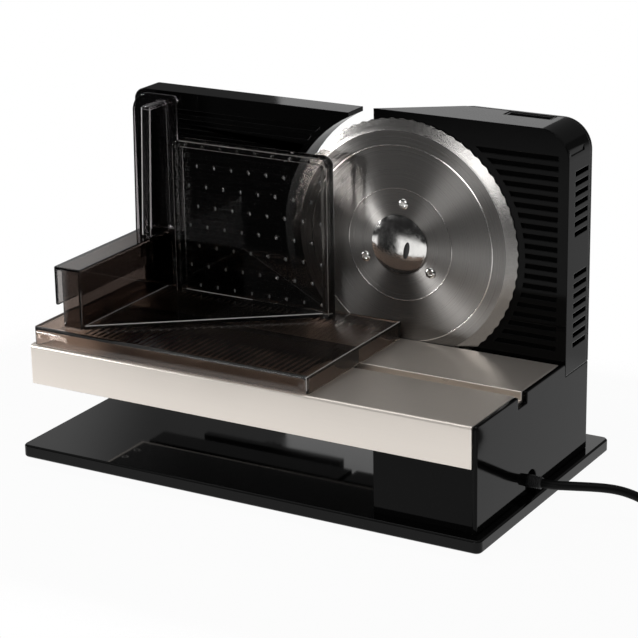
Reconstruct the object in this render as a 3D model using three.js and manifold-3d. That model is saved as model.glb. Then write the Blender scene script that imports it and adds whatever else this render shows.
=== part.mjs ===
// Electric food slicer with a sliding carriage, a leftover holder and an adjustable stop plate.
// Millimetres. X runs right along the table, Y to the back, Z up.
// The origin is on the floor under the centre of the base plate.
import * as THREE from 'three';
import { mergeVertices } from 'three/addons/utils/BufferGeometryUtils.js';
import Module from 'manifold-3d';

const wasm = await Module();
wasm.setup();

// Clearances between pieces
const seat = 0.1;
const slack = 0.3;
const running = 0.5;

// Base plate and feet
const baseWidth = 347;
const baseDepth = 197;
const baseThickness = 9;
const baseCorner = 4.5;
const baseBevel = 1;
const footHeight = 6;
const footRadius = 10;
const footTaper = 1.5;
const footInset = 26;

// Table
const tableLength = 331;
const tableRight = 164;
const tableFront = -91.3;
const tableBack = 35;
const tableTop = 86;
const skirtHeight = 28;
const tableSkin = 2.5;
const tableEdgeRound = 2;
const grooveCentre = -26.2;
const grooveWidth = 9.5;
const grooveDepth = 6;
const tablePlateThickness = 3;

// Lower housing and side panel
const boxLeft = 94.3;
const boxSetback = 2.7;
const panelThickness = 3.2;
const seamHeight = 77.4;
const cordHoleRadius = 7.5;

// Upright housing
const housingFront = 38;
const housingDepth = 36;
const housingTop = 241;
const housingCorner = 20;
const housingTip = 25;
const deflectorRun = 57.7;
const housingWall = 2.5;
const rearCoverThickness = 3;
const gearCaseRadius = 52;
const ribPitch = 6.7;
const ribGroove = 3.2;
const ribDepth = 1;
const ribRim = 7.4;
const ribFieldRadius = 89.5;
const slotHeight = 3.2;
const slotFront = 48;
const slotBack = 68;

// Switch on the top of the upright
const switchCentre = 127;
const switchLength = 34;
const switchWidth = 9.6;
const switchDepth = 14.6;
const switchWall = 1;
const rockerTilt = 6;
const rockerPinRadius = 1.5;

// Blade and its drive
const bladeX = 48.3;
const bladeZ = 152;
const bladeRadius = 85;
const bladeEdgeY = 37.4;
const bladeThickness = 1.4;
const bladeDish = 4.4;
const bladeTeeth = 70;
const toothDepth = 0.8;
const grindWidth = 8;
const hubRadius = 37;
const lockRadius = 20.5;
const lockHeight = 2;
const lockStemRadius = 4.5;
const keySlotLength = 12;
const keySlotWidth = 3;
const keySlotOffset = 6;
const keySlotDrop = 3;
const keySlotTilt = 12;
const bladeScrewCircle = 28.3;
const bladeScrewHead = 3.7;
const axleRadius = 5;
const neckRadius = 9.8;
const gearTeeth = 30;
const gearModule = 2;
const gearWidth = 8;
const wormCore = 3.8;
const wormTurns = 4.5;
const motorRadius = 14;
const motorLength = 62;
const motorStart = 84;

// Stop plate and thickness setting
const stopLeft = -163.5;
const stopRight = 7.5;
const stopLowerRight = -4.5;
const stopTop = 236;
const stopDepth = 20;
const stopWall = 3;
const stopCorner = 8.5;
const stopCutRadius = 90.7;
const stopTravel = 20;
const rodRadius = 4;
const rodHeight = 72;
const rodLeft = -135;
const rodRight = -35;
const knobX = -92;
const knobZ = 88;
const knobRadius = 22;
const knobThickness = 10.5;
const drumRadius = 9;
const studRadius = 5.5;

// Carriage
const trayLeft = -165;
const trayRight = 48.5;
const trayFront = -91;
const trayBack = 34.3;
const trayHeight = 11.7;
const trayWall = 2.5;
const trayEdgeRound = 4;
const gripInner = -130.5;
const gripTop = 140;
const gripWidth = 21.5;
const gripFront = -81;
const gripBack = 30;
const gripWall = 2.5;
const flangeDrop = 27;
const guardTop = 231.5;
const guardFront = 3.6;
const guardLean = 4.8;
const guardInner = -131;
const guardWidth = 7;
const guardPlateRight = -122;
const guardPlateLeft = -161;
const guardPlateTaper = 2;

// Leftover holder
const pusherLeft = -118;
const pusherRight = 4;
const pusherBack = 23;
const pusherTop = 209;
const pusherSkin = 2.5;
const pusherRim = 4.5;
const pusherRimDepth = 9;
const pusherCorner = 6;
const pusherFloorFront = -80;
const spikeColumns = 13.9;
const spikeRows = 14.2;
const spikeHeight = 4.5;
const spikeRadius = 1.7;

// Mains cord
const cordRadius = 3;
const cordExitY = -12.7;
const cordExitZ = 22.7;
const reliefLength = 24;
const reliefReach = 8;
const reliefRadius = 5;
const coilPitch = 6.8;
const coilOuterRadius = 42;
const coilLoops = 2.25;
const coilX = 282;
const coilY = 54;
const tailLength = 42;
const plugLength = 36;
const plugWidth = 34;
const plugThickness = 19;
const pinLength = 19;
const pinRadius = 2;
const pinSpacing = 19;

// Heights and planes that follow from the sizes above
const baseTop = footHeight + baseThickness;
const tableLeft = tableRight - tableLength;
const skirtBottom = tableTop - skirtHeight;
const bodyRight = tableRight + seat + panelThickness;
const housingBack = housingFront + housingDepth;
const coverFront = housingBack - rearCoverThickness;
const boxFront = tableFront + boxSetback;
const hubFace = bladeEdgeY - bladeDish;
const gearPitchRadius = gearTeeth * gearModule / 2;
const wormPitch = Math.PI * gearModule;
const wormPitchRadius = wormCore + 0.85 * gearModule;
const wormZ = bladeZ - gearPitchRadius - wormPitchRadius - slack;
const stopBack = housingFront + stopDepth;
const trayBottom = tableTop + slack;
const trayTop = trayBottom + trayHeight;
const gripOuter = gripInner - gripWidth;

// Turns a closed three.js geometry into a solid that can be cut and joined
function toSolid(geometry) {
  const loose = geometry.index ? geometry.toNonIndexed() : geometry;
  const bare = new THREE.BufferGeometry();
  bare.setAttribute('position', loose.attributes.position);
  const merged = mergeVertices(bare, 1e-4);
  const points = merged.attributes.position;
  const corners = merged.index.array;
  const triangles = [];
  const a = new THREE.Vector3();
  const b = new THREE.Vector3();
  const c = new THREE.Vector3();
  let volume = 0;
  for (let i = 0; i < corners.length; i += 3) {
    const [p, q, r] = corners.slice(i, i + 3);
    if (p === q || q === r || r === p) continue;
    triangles.push([p, q, r]);
    a.fromBufferAttribute(points, p);
    b.fromBufferAttribute(points, q);
    c.fromBufferAttribute(points, r);
    volume += a.dot(b.cross(c));
  }
  const outward = volume > 0 ? triangles : triangles.map(([p, q, r]) => [p, r, q]);
  const mesh = new wasm.Mesh({
    numProp: 3,
    vertProperties: new Float32Array(points.array),
    triVerts: new Uint32Array(outward.flat()),
  });
  return new wasm.Manifold(mesh);
}

// Gives a solid's surface back as a geometry
function toGeometry(solid) {
  const mesh = solid.getMesh();
  const geometry = new THREE.BufferGeometry();
  geometry.setAttribute('position', new THREE.BufferAttribute(new Float32Array(mesh.vertProperties), 3));
  geometry.setIndex(new THREE.BufferAttribute(new Uint32Array(mesh.triVerts), 1));
  geometry.computeVertexNormals();
  return geometry;
}

const join = (first, ...rest) => rest.reduce((solid, other) => solid.add(other), first);
const cut = (first, ...rest) => rest.reduce((solid, other) => solid.subtract(other), first);

// A block between two corners
function block(x0, x1, y0, y1, z0, z1) {
  const geometry = new THREE.BoxGeometry(x1 - x0, y1 - y0, z1 - z0);
  geometry.translate((x0 + x1) / 2, (y0 + y1) / 2, (z0 + z1) / 2);
  return toSolid(geometry);
}

// Round bars along each axis
function rodX(x0, x1, y, z, radius, sides = 20) {
  const geometry = new THREE.CylinderGeometry(radius, radius, x1 - x0, sides);
  geometry.rotateZ(Math.PI / 2);
  geometry.translate((x0 + x1) / 2, y, z);
  return toSolid(geometry);
}

function rodY(y0, y1, x, z, radius, sides = 20) {
  const geometry = new THREE.CylinderGeometry(radius, radius, y1 - y0, sides);
  geometry.translate(x, (y0 + y1) / 2, z);
  return toSolid(geometry);
}

function rodZ(z0, z1, x, y, lowRadius, topRadius = lowRadius, sides = 20) {
  const geometry = new THREE.CylinderGeometry(topRadius, lowRadius, z1 - z0, sides);
  geometry.rotateX(Math.PI / 2);
  geometry.translate(x, y, (z0 + z1) / 2);
  return toSolid(geometry);
}

// Outlines pushed along each axis: prismZ takes (x, y), prismY takes (x, z), prismX takes (y, z)
function prismZ(shape, z0, z1, curveSegments = 8) {
  const geometry = new THREE.ExtrudeGeometry(shape, { depth: z1 - z0, bevelEnabled: false, curveSegments });
  geometry.translate(0, 0, z0);
  return toSolid(geometry);
}

function prismY(shape, y0, y1, curveSegments = 8) {
  const geometry = new THREE.ExtrudeGeometry(shape, { depth: y1 - y0, bevelEnabled: false, curveSegments });
  geometry.rotateX(Math.PI / 2);
  geometry.translate(0, y1, 0);
  return toSolid(geometry);
}

function prismX(shape, x0, x1, curveSegments = 8) {
  const geometry = new THREE.ExtrudeGeometry(shape, { depth: x1 - x0, bevelEnabled: false, curveSegments });
  const turn = new THREE.Matrix4().makeBasis(
    new THREE.Vector3(0, 1, 0),
    new THREE.Vector3(0, 0, 1),
    new THREE.Vector3(1, 0, 0),
  );
  geometry.applyMatrix4(turn);
  geometry.translate(x0, 0, 0);
  return toSolid(geometry);
}

// A profile of (radius, y) turned about an axis along Y
function turnedY(profile, x, z, steps) {
  const points = profile.map(([radius, y]) => new THREE.Vector2(radius, y));
  const geometry = new THREE.LatheGeometry(points, steps);
  geometry.translate(x, 0, z);
  return toSolid(geometry);
}

// A ring about an axis along Y
function ringY(y0, y1, x, z, inner, outer, sides = 28) {
  return cut(rodY(y0, y1, x, z, outer, sides), rodY(y0 - 1, y1 + 1, x, z, inner, sides));
}

function polygon(points) {
  return new THREE.Shape(points.map(([x, y]) => new THREE.Vector2(x, y)));
}

// A rectangle with its own radius at each corner, from lower left and counter-clockwise
function roundedRectangle(x0, x1, y0, y1, [lowLeft, lowRight, topRight, topLeft]) {
  const shape = new THREE.Shape();
  shape.moveTo(x0 + lowLeft, y0);
  shape.lineTo(x1 - lowRight, y0);
  if (lowRight > 0) shape.absarc(x1 - lowRight, y0 + lowRight, lowRight, -Math.PI / 2, 0);
  shape.lineTo(x1, y1 - topRight);
  if (topRight > 0) shape.absarc(x1 - topRight, y1 - topRight, topRight, 0, Math.PI / 2);
  shape.lineTo(x0 + topLeft, y1);
  if (topLeft > 0) shape.absarc(x0 + topLeft, y1 - topLeft, topLeft, Math.PI / 2, Math.PI);
  shape.lineTo(x0, y0 + lowLeft);
  if (lowLeft > 0) shape.absarc(x0 + lowLeft, y0 + lowLeft, lowLeft, Math.PI, Math.PI * 1.5);
  return shape;
}

// An upright screw: the head below, the shank above it
function screwZ(x, y, headBottom, headTop, tip, headRadius, shankRadius) {
  return join(
    rodZ(headBottom, headTop, x, y, headRadius, headRadius, 16),
    rodZ(headTop - 0.01, tip, x, y, shankRadius, shankRadius, 12),
  );
}

const slicer = new THREE.Group();

// Adds one named piece to the slicer
function add(name, solid, finish) {
  const material = new THREE.MeshStandardMaterial({ ...finish, flatShading: true });
  const mesh = new THREE.Mesh(toGeometry(solid), material);
  mesh.name = name;
  slicer.add(mesh);
}

const blackGlass = { color: 0x0b0b0b, roughness: 0.05, metalness: 0 };
const glossBlack = { color: 0x0d0d0d, roughness: 0.15, metalness: 0 };
const tableMetal = { color: 0xb9b4ab, roughness: 0.35, metalness: 0.9 };
const bladeSteel = { color: 0xb5b3af, roughness: 0.25, metalness: 1 };
const chrome = { color: 0xd8d8d8, roughness: 0.08, metalness: 1 };
const plainSteel = { color: 0x9a9a98, roughness: 0.4, metalness: 1 };
const smokyPlastic = { color: 0x3b332d, roughness: 0.1, metalness: 0, transparent: true, opacity: 0.6 };
const gearPlastic = { color: 0xe8e2d2, roughness: 0.5, metalness: 0 };
const bronze = { color: 0xa9824a, roughness: 0.4, metalness: 1 };
const rubber = { color: 0x151515, roughness: 0.85, metalness: 0 };
const cordPlastic = { color: 0x141414, roughness: 0.5, metalness: 0 };
const innerPlastic = { color: 0x2a2a2a, roughness: 0.6, metalness: 0 };

// Base plate: a slab of black glass with polished edges and four screw holes
const footX = baseWidth / 2 - footInset;
const footY = baseDepth / 2 - footInset;
const baseScrewShank = 2;
const baseScrewHead = 4;
const baseScrewInset = 12;
const screwFootGap = 6;
const baseScrewY = footY - footRadius - screwFootGap - baseScrewHead;
const baseScrewPlaces = [boxLeft + baseScrewInset, tableRight - baseScrewInset].flatMap(
  (x) => [[x, -baseScrewY], [x, baseScrewY]],
);

function basePlate() {
  const outline = roundedRectangle(
    -baseWidth / 2, baseWidth / 2, -baseDepth / 2, baseDepth / 2,
    [baseCorner, baseCorner, baseCorner, baseCorner],
  );
  const geometry = new THREE.ExtrudeGeometry(outline, {
    depth: baseThickness - 2 * baseBevel,
    bevelThickness: baseBevel,
    bevelSize: baseBevel,
    bevelOffset: -baseBevel,
    bevelSegments: 1,
    curveSegments: 6,
  });
  geometry.translate(0, 0, footHeight + baseBevel);
  const holes = baseScrewPlaces.map(
    ([x, y]) => rodZ(0, baseTop + 1, x, y, baseScrewShank + slack, undefined, 12),
  );
  return cut(toSolid(geometry), ...holes);
}

add('base_plate', basePlate(), blackGlass);

// Four rubber feet under the corners of the base plate
const footPlaces = { front_left: [-1, -1], front_right: [1, -1], rear_left: [-1, 1], rear_right: [1, 1] };
for (const [place, [sideX, sideY]] of Object.entries(footPlaces)) {
  const foot = rodZ(0, footHeight, sideX * footX, sideY * footY, footRadius - footTaper, footRadius, 24);
  add(`foot_${place}`, foot, rubber);
}

// Lower housing: an open-topped box that carries the table and the upright
const boxFloor = baseTop + housingWall;
const boxRight = tableRight;
const bossRadius = 5;
const bossHeight = 14;

function lowerHousing() {
  const outer = block(boxLeft, boxRight, boxFront, coverFront, baseTop, skirtBottom);
  const hollow = block(
    boxLeft + housingWall, boxRight - housingWall, boxFront + housingWall, coverFront - housingWall,
    boxFloor, skirtBottom + 1,
  );
  const bosses = baseScrewPlaces.map(
    ([x, y]) => rodZ(boxFloor - 0.5, boxFloor + bossHeight, x, y, bossRadius),
  );
  const holes = baseScrewPlaces.map(
    ([x, y]) => rodZ(baseTop - 1, boxFloor + bossHeight - 2, x, y, baseScrewShank + slack, undefined, 12),
  );
  const cordHole = rodX(boxRight - housingWall - 1, boxRight + 1, cordExitY, cordExitZ, reliefRadius + slack);
  return cut(join(cut(outer, hollow), ...bosses), ...holes, cordHole);
}

add('lower_housing', lowerHousing(), glossBlack);

// Screws that hold the glass plate to the lower housing from below
const baseScrewHeadHeight = 2.6;
baseScrewPlaces.forEach(([x, y], i) => {
  const tip = boxFloor + bossHeight - 3;
  const head = footHeight - baseScrewHeadHeight;
  const screw = screwZ(x, y, head, footHeight, tip, baseScrewHead, baseScrewShank);
  add(`base_screw_${i + 1}`, screw, plainSteel);
});

// Side panel: gloss plate on the right, with the cord's arch and a notch for the guide groove
const notchMargin = 1.5;
const panelTopRound = 1.6;

function sidePanel() {
  const outline = polygon([
    [tableFront + 1, baseTop],
    [housingBack, baseTop],
    [housingBack, seamHeight - seat],
    [housingFront, seamHeight - seat],
    [housingFront, tableTop - panelTopRound],
    [housingFront - panelTopRound, tableTop],
    [tableFront + 1 + panelTopRound, tableTop],
    [tableFront + 1, tableTop - panelTopRound],
  ]);
  const plate = prismX(outline, tableRight + seat, bodyRight);
  const arch = join(
    rodX(tableRight - 1, bodyRight + 1, cordExitY, cordExitZ, cordHoleRadius),
    block(
      tableRight - 1, bodyRight + 1,
      cordExitY - cordHoleRadius, cordExitY + cordHoleRadius, baseTop - 1, cordExitZ,
    ),
  );
  const notch = block(
    tableRight - 1, bodyRight + 1,
    grooveCentre - grooveWidth / 2 - notchMargin, grooveCentre + grooveWidth / 2 + notchMargin,
    tableTop - grooveDepth - notchMargin, tableTop + 1,
  );
  return cut(plate, arch, notch);
}

add('side_panel', sidePanel(), glossBlack);

// Table: a folded metal box, open below, with the guide groove pressed into its top
const rodPlaces = [rodLeft, rodRight];

function tableShell() {
  const profile = new THREE.Shape();
  profile.moveTo(tableFront, skirtBottom);
  profile.lineTo(tableBack, skirtBottom);
  profile.lineTo(tableBack, tableTop);
  profile.lineTo(tableFront + tableEdgeRound, tableTop);
  profile.absarc(tableFront + tableEdgeRound, tableTop - tableEdgeRound, tableEdgeRound, Math.PI / 2, Math.PI);
  const outer = prismX(profile, tableLeft, tableRight, 4);
  const hollow = block(
    tableLeft + tableSkin, tableRight - tableSkin, tableFront + tableSkin, tableBack - tableSkin,
    skirtBottom - 1, tableTop - tableSkin,
  );
  const trough = block(
    tableLeft + tableSkin, tableRight - tableSkin,
    grooveCentre - grooveWidth / 2 - tableSkin, grooveCentre + grooveWidth / 2 + tableSkin,
    tableTop - grooveDepth - tableSkin, tableTop - tableSkin / 2,
  );
  const groove = block(
    tableLeft + 4 * tableSkin, tableRight + 1,
    grooveCentre - grooveWidth / 2, grooveCentre + grooveWidth / 2,
    tableTop - grooveDepth, tableTop + 1,
  );
  const rodHoles = rodPlaces.map(
    (x) => rodY(tableBack - tableSkin - 1, tableBack + 1, x, rodHeight, rodRadius + seat),
  );
  return cut(join(cut(outer, hollow), trough), groove, ...rodHoles);
}

add('table_top', tableShell(), tableMetal);

// Plate that closes the table from below, with the sockets of the guide rods
const socketHalf = 8;
const socketFront = 20;
const socketTop = rodHeight + socketHalf;
const tableScrewX = tableLeft + 6;
const tableScrewPlaces = [3.4, 18.3];
const tableScrewShank = 1.6;
const tableScrewHead = 2.8;

function tablePlate() {
  const plate = block(
    tableLeft + tableSkin + seat, tableRight - tableSkin - seat,
    tableFront + tableSkin + seat, tableBack - tableSkin - seat,
    skirtBottom, skirtBottom + tablePlateThickness,
  );
  const sockets = rodPlaces.map((x) => block(
    x - socketHalf, x + socketHalf, socketFront, tableBack - tableSkin - seat,
    skirtBottom + tablePlateThickness - 0.5, socketTop,
  ));
  const rodHoles = rodPlaces.map((x) => rodY(socketFront + 4, tableBack, x, rodHeight, rodRadius + seat));
  const screwHoles = tableScrewPlaces.flatMap((y) => [
    rodZ(skirtBottom - 1, skirtBottom + 1.5, tableScrewX, y, tableScrewHead + seat, undefined, 16),
    rodZ(
      skirtBottom, skirtBottom + tablePlateThickness + 1, tableScrewX, y,
      tableScrewShank + seat, undefined, 12,
    ),
  ]);
  return cut(join(plate, ...sockets), ...rodHoles, ...screwHoles);
}

add('table_plate', tablePlate(), innerPlastic);
tableScrewPlaces.forEach((y, i) => {
  const head = skirtBottom + 0.2;
  const screw = screwZ(tableScrewX, y, head, head + 1.2, skirtBottom + 12, tableScrewHead, tableScrewShank);
  add(`table_screw_${i + 1}`, screw, plainSteel);
});

// Upright housing: the front shell, open at the back, with ribs, vents and the gear case
const coverScrewShank = 1.5;
const coverScrewHead = 3.2;
const coverBossRadius = 4.5;
const coverScrewInset = 14;
const coverScrewPlaces = [
  [bodyRight - coverScrewInset, housingTop - coverScrewInset],
  [bodyRight - coverScrewInset, seamHeight + coverScrewInset],
  [housingTip + deflectorRun + coverScrewInset, housingTop - coverScrewInset],
  [boxLeft + coverScrewInset, seamHeight + coverScrewInset - 12],
];

// Outline of the upright seen from the front, drawn in by a margin
function uprightOutline(margin) {
  const right = bodyRight - margin;
  const top = housingTop - margin;
  const corner = housingCorner - margin;
  const shape = new THREE.Shape();
  shape.moveTo(housingTip, skirtBottom + margin);
  shape.lineTo(tableRight - margin, skirtBottom + margin);
  shape.lineTo(tableRight - margin, seamHeight + margin);
  shape.lineTo(right, seamHeight + margin);
  shape.lineTo(right, top - corner);
  shape.absarc(right - corner, top - corner, corner, 0, Math.PI / 2);
  shape.lineTo(housingTip, top);
  return shape;
}

// Plan of the upright: the diagonal left side turns slices away from the blade
function uprightPlan(margin, back) {
  const slope = (back - housingFront) / housingDepth;
  return polygon([
    [housingTip + margin * 2, housingFront - 1],
    [bodyRight + 1, housingFront - 1],
    [bodyRight + 1, back],
    [housingTip + deflectorRun * slope + margin * 2, back],
  ]);
}

// Vent slots in the right side, counted up from a height
function ventSlots(firstZ, count) {
  return Array.from({ length: count }, (_, i) => block(
    bodyRight - housingWall - 1, bodyRight + 1, slotFront, slotBack,
    firstZ + i * ribPitch, firstZ + i * ribPitch + slotHeight,
  ));
}

// Horizontal grooves in a front face that leave ribs between them
function ribGrooves(left, right, bottom, top, frontY) {
  const count = Math.floor((top - bottom) / ribPitch);
  return Array.from({ length: count }, (_, i) => block(
    left, right, frontY - 1, frontY + ribDepth,
    bottom + i * ribPitch, bottom + i * ribPitch + ribGroove,
  ));
}

const upperSlots = 7;
const lowerSlots = 8;
const upperSlotZ = 169;
const lowerSlotZ = 94;
const lowerLipLeft = stopLowerRight + 4;
const lowerLipDepth = 20;
const lowerLipHeight = 6;
const frontBearingRadius = 14;
const frontBearingEnd = 47;
const innerFace = housingFront + housingWall;
const gripSlotZ = [224, 229];
const gripSlotY = [41, 62];
const saddlePlaces = [motorStart + 12, motorStart + 46];
const saddleWidth = 4;
const saddleDrop = 4;

function housingFrontShell() {
  const back = coverFront - seat;
  const body = prismY(uprightOutline(0), housingFront, back, 10)
    .intersect(prismZ(uprightPlan(0, back), 0, housingTop + 1));
  const hollow = prismY(uprightOutline(housingWall), innerFace, back + 1, 10)
    .intersect(prismZ(uprightPlan(housingWall, back + 1), 0, housingTop + 1));
  const gearCase = rodY(housingFront, back, bladeX, bladeZ, gearCaseRadius, 40);
  const caseHollow = rodY(innerFace, back + 1, bladeX, bladeZ, gearCaseRadius - housingWall, 40);
  const lip = block(
    lowerLipLeft, boxLeft, housingFront, housingFront + lowerLipDepth,
    skirtBottom, skirtBottom + lowerLipHeight,
  );
  const bearingSeat = ringY(
    innerFace - 0.5, frontBearingEnd, bladeX, bladeZ, frontBearingRadius + seat, frontBearingRadius + 3,
  );
  const bosses = coverScrewPlaces.map(([x, z]) => rodY(innerFace - 0.5, back, x, z, coverBossRadius, 16));
  const saddles = saddlePlaces.map((x) => cut(
    block(
      x, x + saddleWidth, innerFace - 0.5, motorY + motorRadius * 0.6,
      wormZ - motorRadius - saddleDrop, wormZ - motorRadius * 0.5,
    ),
    rodX(x - 1, x + saddleWidth + 1, motorY, wormZ, motorRadius + slack, 36),
  ));
  const shell = join(cut(join(body, gearCase, lip), hollow, caseHollow), bearingSeat, ...bosses, ...saddles);
  const neckHole = rodY(housingFront - 1, innerFace + 0.5, bladeX, bladeZ, neckRadius + slack, 28);
  const screwHoles = coverScrewPlaces.map(
    ([x, z]) => rodY(back - 14, back + 1, x, z, coverScrewShank + seat, 12),
  );
  const switchHole = block(
    switchCentre - switchLength / 2 - seat, switchCentre + switchLength / 2 + seat,
    switchFront - seat, switchFront + switchWidth + seat, housingTop - housingWall - 1, housingTop + 1,
  );
  const gripSlot = block(bodyRight - 1, bodyRight + 1, gripSlotY[0], gripSlotY[1], gripSlotZ[0], gripSlotZ[1]);
  const ribField = rodY(housingFront - 3, housingFront + 3, bladeX, bladeZ, ribFieldRadius, 48);
  const grooves = ribGrooves(
    bladeX, bodyRight - ribRim, tableTop + ribRim, housingTop - ribRim, housingFront,
  ).map((groove) => groove.subtract(ribField));
  return cut(
    shell, neckHole, ...screwHoles, switchHole, gripSlot,
    ...ventSlots(upperSlotZ, upperSlots), ...ventSlots(lowerSlotZ, lowerSlots), ...grooves,
  );
}

const motorY = innerFace + motorRadius + running;
const switchFront = coverFront - seat - 0.6 - switchWidth;
add('housing_front', housingFrontShell(), glossBlack);

// Rear cover: a flat lid over the upright and the gear case, with the rear bearing's seat
const rearBearingRadius = 10;
const rearBearingStart = 62.5;

function rearCover() {
  const lid = prismY(uprightOutline(0), coverFront, housingBack, 10)
    .intersect(prismZ(uprightPlan(0, housingBack), 0, housingTop + 1)
      .add(block(housingTip + deflectorRun, bodyRight, coverFront, housingBack, 0, housingTop)));
  const caseLid = rodY(coverFront, housingBack, bladeX, bladeZ, gearCaseRadius, 40);
  const bearingSeat = ringY(
    rearBearingStart, coverFront + 0.5, bladeX, bladeZ, rearBearingRadius + seat, rearBearingRadius + 3,
  );
  const holes = coverScrewPlaces.map(
    ([x, z]) => rodY(coverFront - 1, housingBack + 1, x, z, coverScrewShank + slack, 12),
  );
  return cut(join(lid, caseLid, bearingSeat), ...holes);
}

add('housing_rear', rearCover(), glossBlack);
coverScrewPlaces.forEach(([x, z], i) => {
  const head = housingBack + seat;
  const screw = join(
    rodY(head, head + 2.2, x, z, coverScrewHead, 16),
    rodY(coverFront - 10, head + 0.01, x, z, coverScrewShank, 12),
  );
  add(`cover_screw_${i + 1}`, screw, plainSteel);
});

// On/off switch: a cup sunk in the top of the upright and a rocker on a pin
const rockerZ = housingTop - 7.5;
const rockerLength = 26;
const switchTop = housingTop - 0.4;
const switchMiddle = switchFront + switchWidth / 2;

function switchCup() {
  const half = switchLength / 2;
  const outer = block(
    switchCentre - half, switchCentre + half, switchFront, switchFront + switchWidth,
    switchTop - switchDepth, switchTop,
  );
  const hollow = block(
    switchCentre - half + 2 * switchWall, switchCentre + half - 2 * switchWall,
    switchFront + switchWall, switchFront + switchWidth - switchWall,
    switchTop - switchDepth + 2 * switchWall, switchTop + 1,
  );
  const pinHole = rodY(
    switchFront - 1, switchFront + switchWidth + 1, switchCentre, rockerZ, rockerPinRadius + seat, 16,
  );
  return cut(outer, hollow, pinHole);
}

function rocker() {
  const half = rockerLength / 2;
  const profile = polygon([
    [-half * 0.85, -2.6], [half * 0.85, -2.6], [half, 3.6], [0, 2.2], [-half, 3.6],
  ]);
  const start = switchFront + switchWall + slack;
  const end = switchFront + switchWidth - switchWall - slack;
  const geometry = new THREE.ExtrudeGeometry(profile, { depth: end - start, bevelEnabled: false });
  geometry.rotateX(Math.PI / 2);
  geometry.translate(0, end, 0);
  geometry.rotateY(THREE.MathUtils.degToRad(-rockerTilt));
  geometry.translate(switchCentre, 0, rockerZ);
  const pin = rodY(
    switchFront + seat, switchFront + switchWidth - seat, switchCentre, rockerZ, rockerPinRadius, 16,
  );
  return join(toSolid(geometry), pin);
}

add('switch_frame', switchCup(), innerPlastic);
add('switch_rocker', rocker(), glossBlack);

// Blade: a dished steel disc with a wavy ground edge, three screw holes and a centre hole
const bladeScrewShank = 1.8;
const bladeScrewAngles = [84, 204, 324];
const bladeScrewPlaces = bladeScrewAngles.map((degrees) => {
  const angle = THREE.MathUtils.degToRad(degrees);
  return [bladeX + bladeScrewCircle * Math.cos(angle), bladeZ + bladeScrewCircle * Math.sin(angle)];
});
const bladeHole = lockStemRadius + running;

const edgeHalf = 0.1;
const grindDrop = 1;
const coneShares = [0, 0.2, 0.45, 0.75];

// A point of the blade's cone, from the hub's rim to the ground edge, set back from the front
function conePoint(share, setBack) {
  const reach = bladeRadius - grindWidth - hubRadius;
  const rise = (bladeDish - grindDrop) * share * (1.42 - 0.42 * share);
  return [hubRadius + reach * share, hubFace + setBack + rise];
}

function blade() {
  const front = [
    [0, hubFace],
    ...coneShares.map((share) => conePoint(share, 0)),
    conePoint(1, 0),
    [bladeRadius, bladeEdgeY - edgeHalf],
  ];
  const rear = [
    [bladeRadius, bladeEdgeY + edgeHalf],
    [bladeRadius - grindWidth, bladeEdgeY + edgeHalf],
    ...coneShares.toReversed().map((share) => conePoint(share, bladeThickness)),
    [0, hubFace + bladeThickness],
  ];
  const disc = turnedY([...front, ...rear], bladeX, bladeZ, 56);
  const wave = new THREE.Shape();
  const stepsPerTooth = 2;
  for (let i = 0; i < bladeTeeth * stepsPerTooth; i += 1) {
    const turn = i / (bladeTeeth * stepsPerTooth);
    const hollow = 0.5 + 0.5 * Math.cos(turn * bladeTeeth * 2 * Math.PI);
    const radius = bladeRadius - toothDepth * hollow;
    const x = bladeX + radius * Math.cos(turn * 2 * Math.PI);
    const z = bladeZ + radius * Math.sin(turn * 2 * Math.PI);
    if (i === 0) wave.moveTo(x, z);
    else wave.lineTo(x, z);
  }
  const toothed = disc.intersect(prismY(wave, hubFace - 1, bladeEdgeY + 1));
  const holes = bladeScrewPlaces.map(
    ([x, z]) => rodY(hubFace - 1, bladeEdgeY, x, z, bladeScrewShank + seat, 12),
  );
  return cut(toothed, rodY(hubFace - 1, bladeEdgeY, bladeX, bladeZ, bladeHole), ...holes);
}

add('blade', blade(), bladeSteel);

// Blade carrier: the disc and neck behind the blade that turn in the front bearing
const carrierFront = hubFace + bladeThickness + seat;
const carrierBack = housingFront - running;
const gearStart = motorY - gearWidth / 2;
const gearEnd = motorY + gearWidth / 2;

function bladeCarrier() {
  const disc = rodY(carrierFront, carrierBack, bladeX, bladeZ, hubRadius - 3, 36);
  const neck = rodY(carrierBack - 0.5, gearStart - seat, bladeX, bladeZ, neckRadius, 28);
  const bore = rodY(carrierFront - 1, gearStart + 1, bladeX, bladeZ, axleRadius + seat);
  const holes = bladeScrewPlaces.map(
    ([x, z]) => rodY(carrierFront - 1, carrierBack + 1, x, z, bladeScrewShank + seat, 12),
  );
  return cut(join(disc, neck), bore, ...holes);
}

add('blade_carrier', bladeCarrier(), innerPlastic);
bladeScrewPlaces.forEach(([x, z], i) => {
  const headStart = hubFace - seat - 1;
  const headEnd = hubFace - seat;
  const screw = join(
    rodY(headStart, headEnd, x, z, bladeScrewHead, 20),
    rodY(headEnd - 0.01, carrierBack - seat, x, z, bladeScrewShank, 12),
  );
  const cross = join(
    block(x - 1.9, x + 1.9, headStart - 1, headStart + 0.5, z - 0.4, z + 0.4),
    block(x - 0.4, x + 0.4, headStart - 1, headStart + 0.5, z - 1.9, z + 1.9),
  );
  add(`blade_screw_${i + 1}`, cut(screw, cross), chrome);
});

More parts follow.
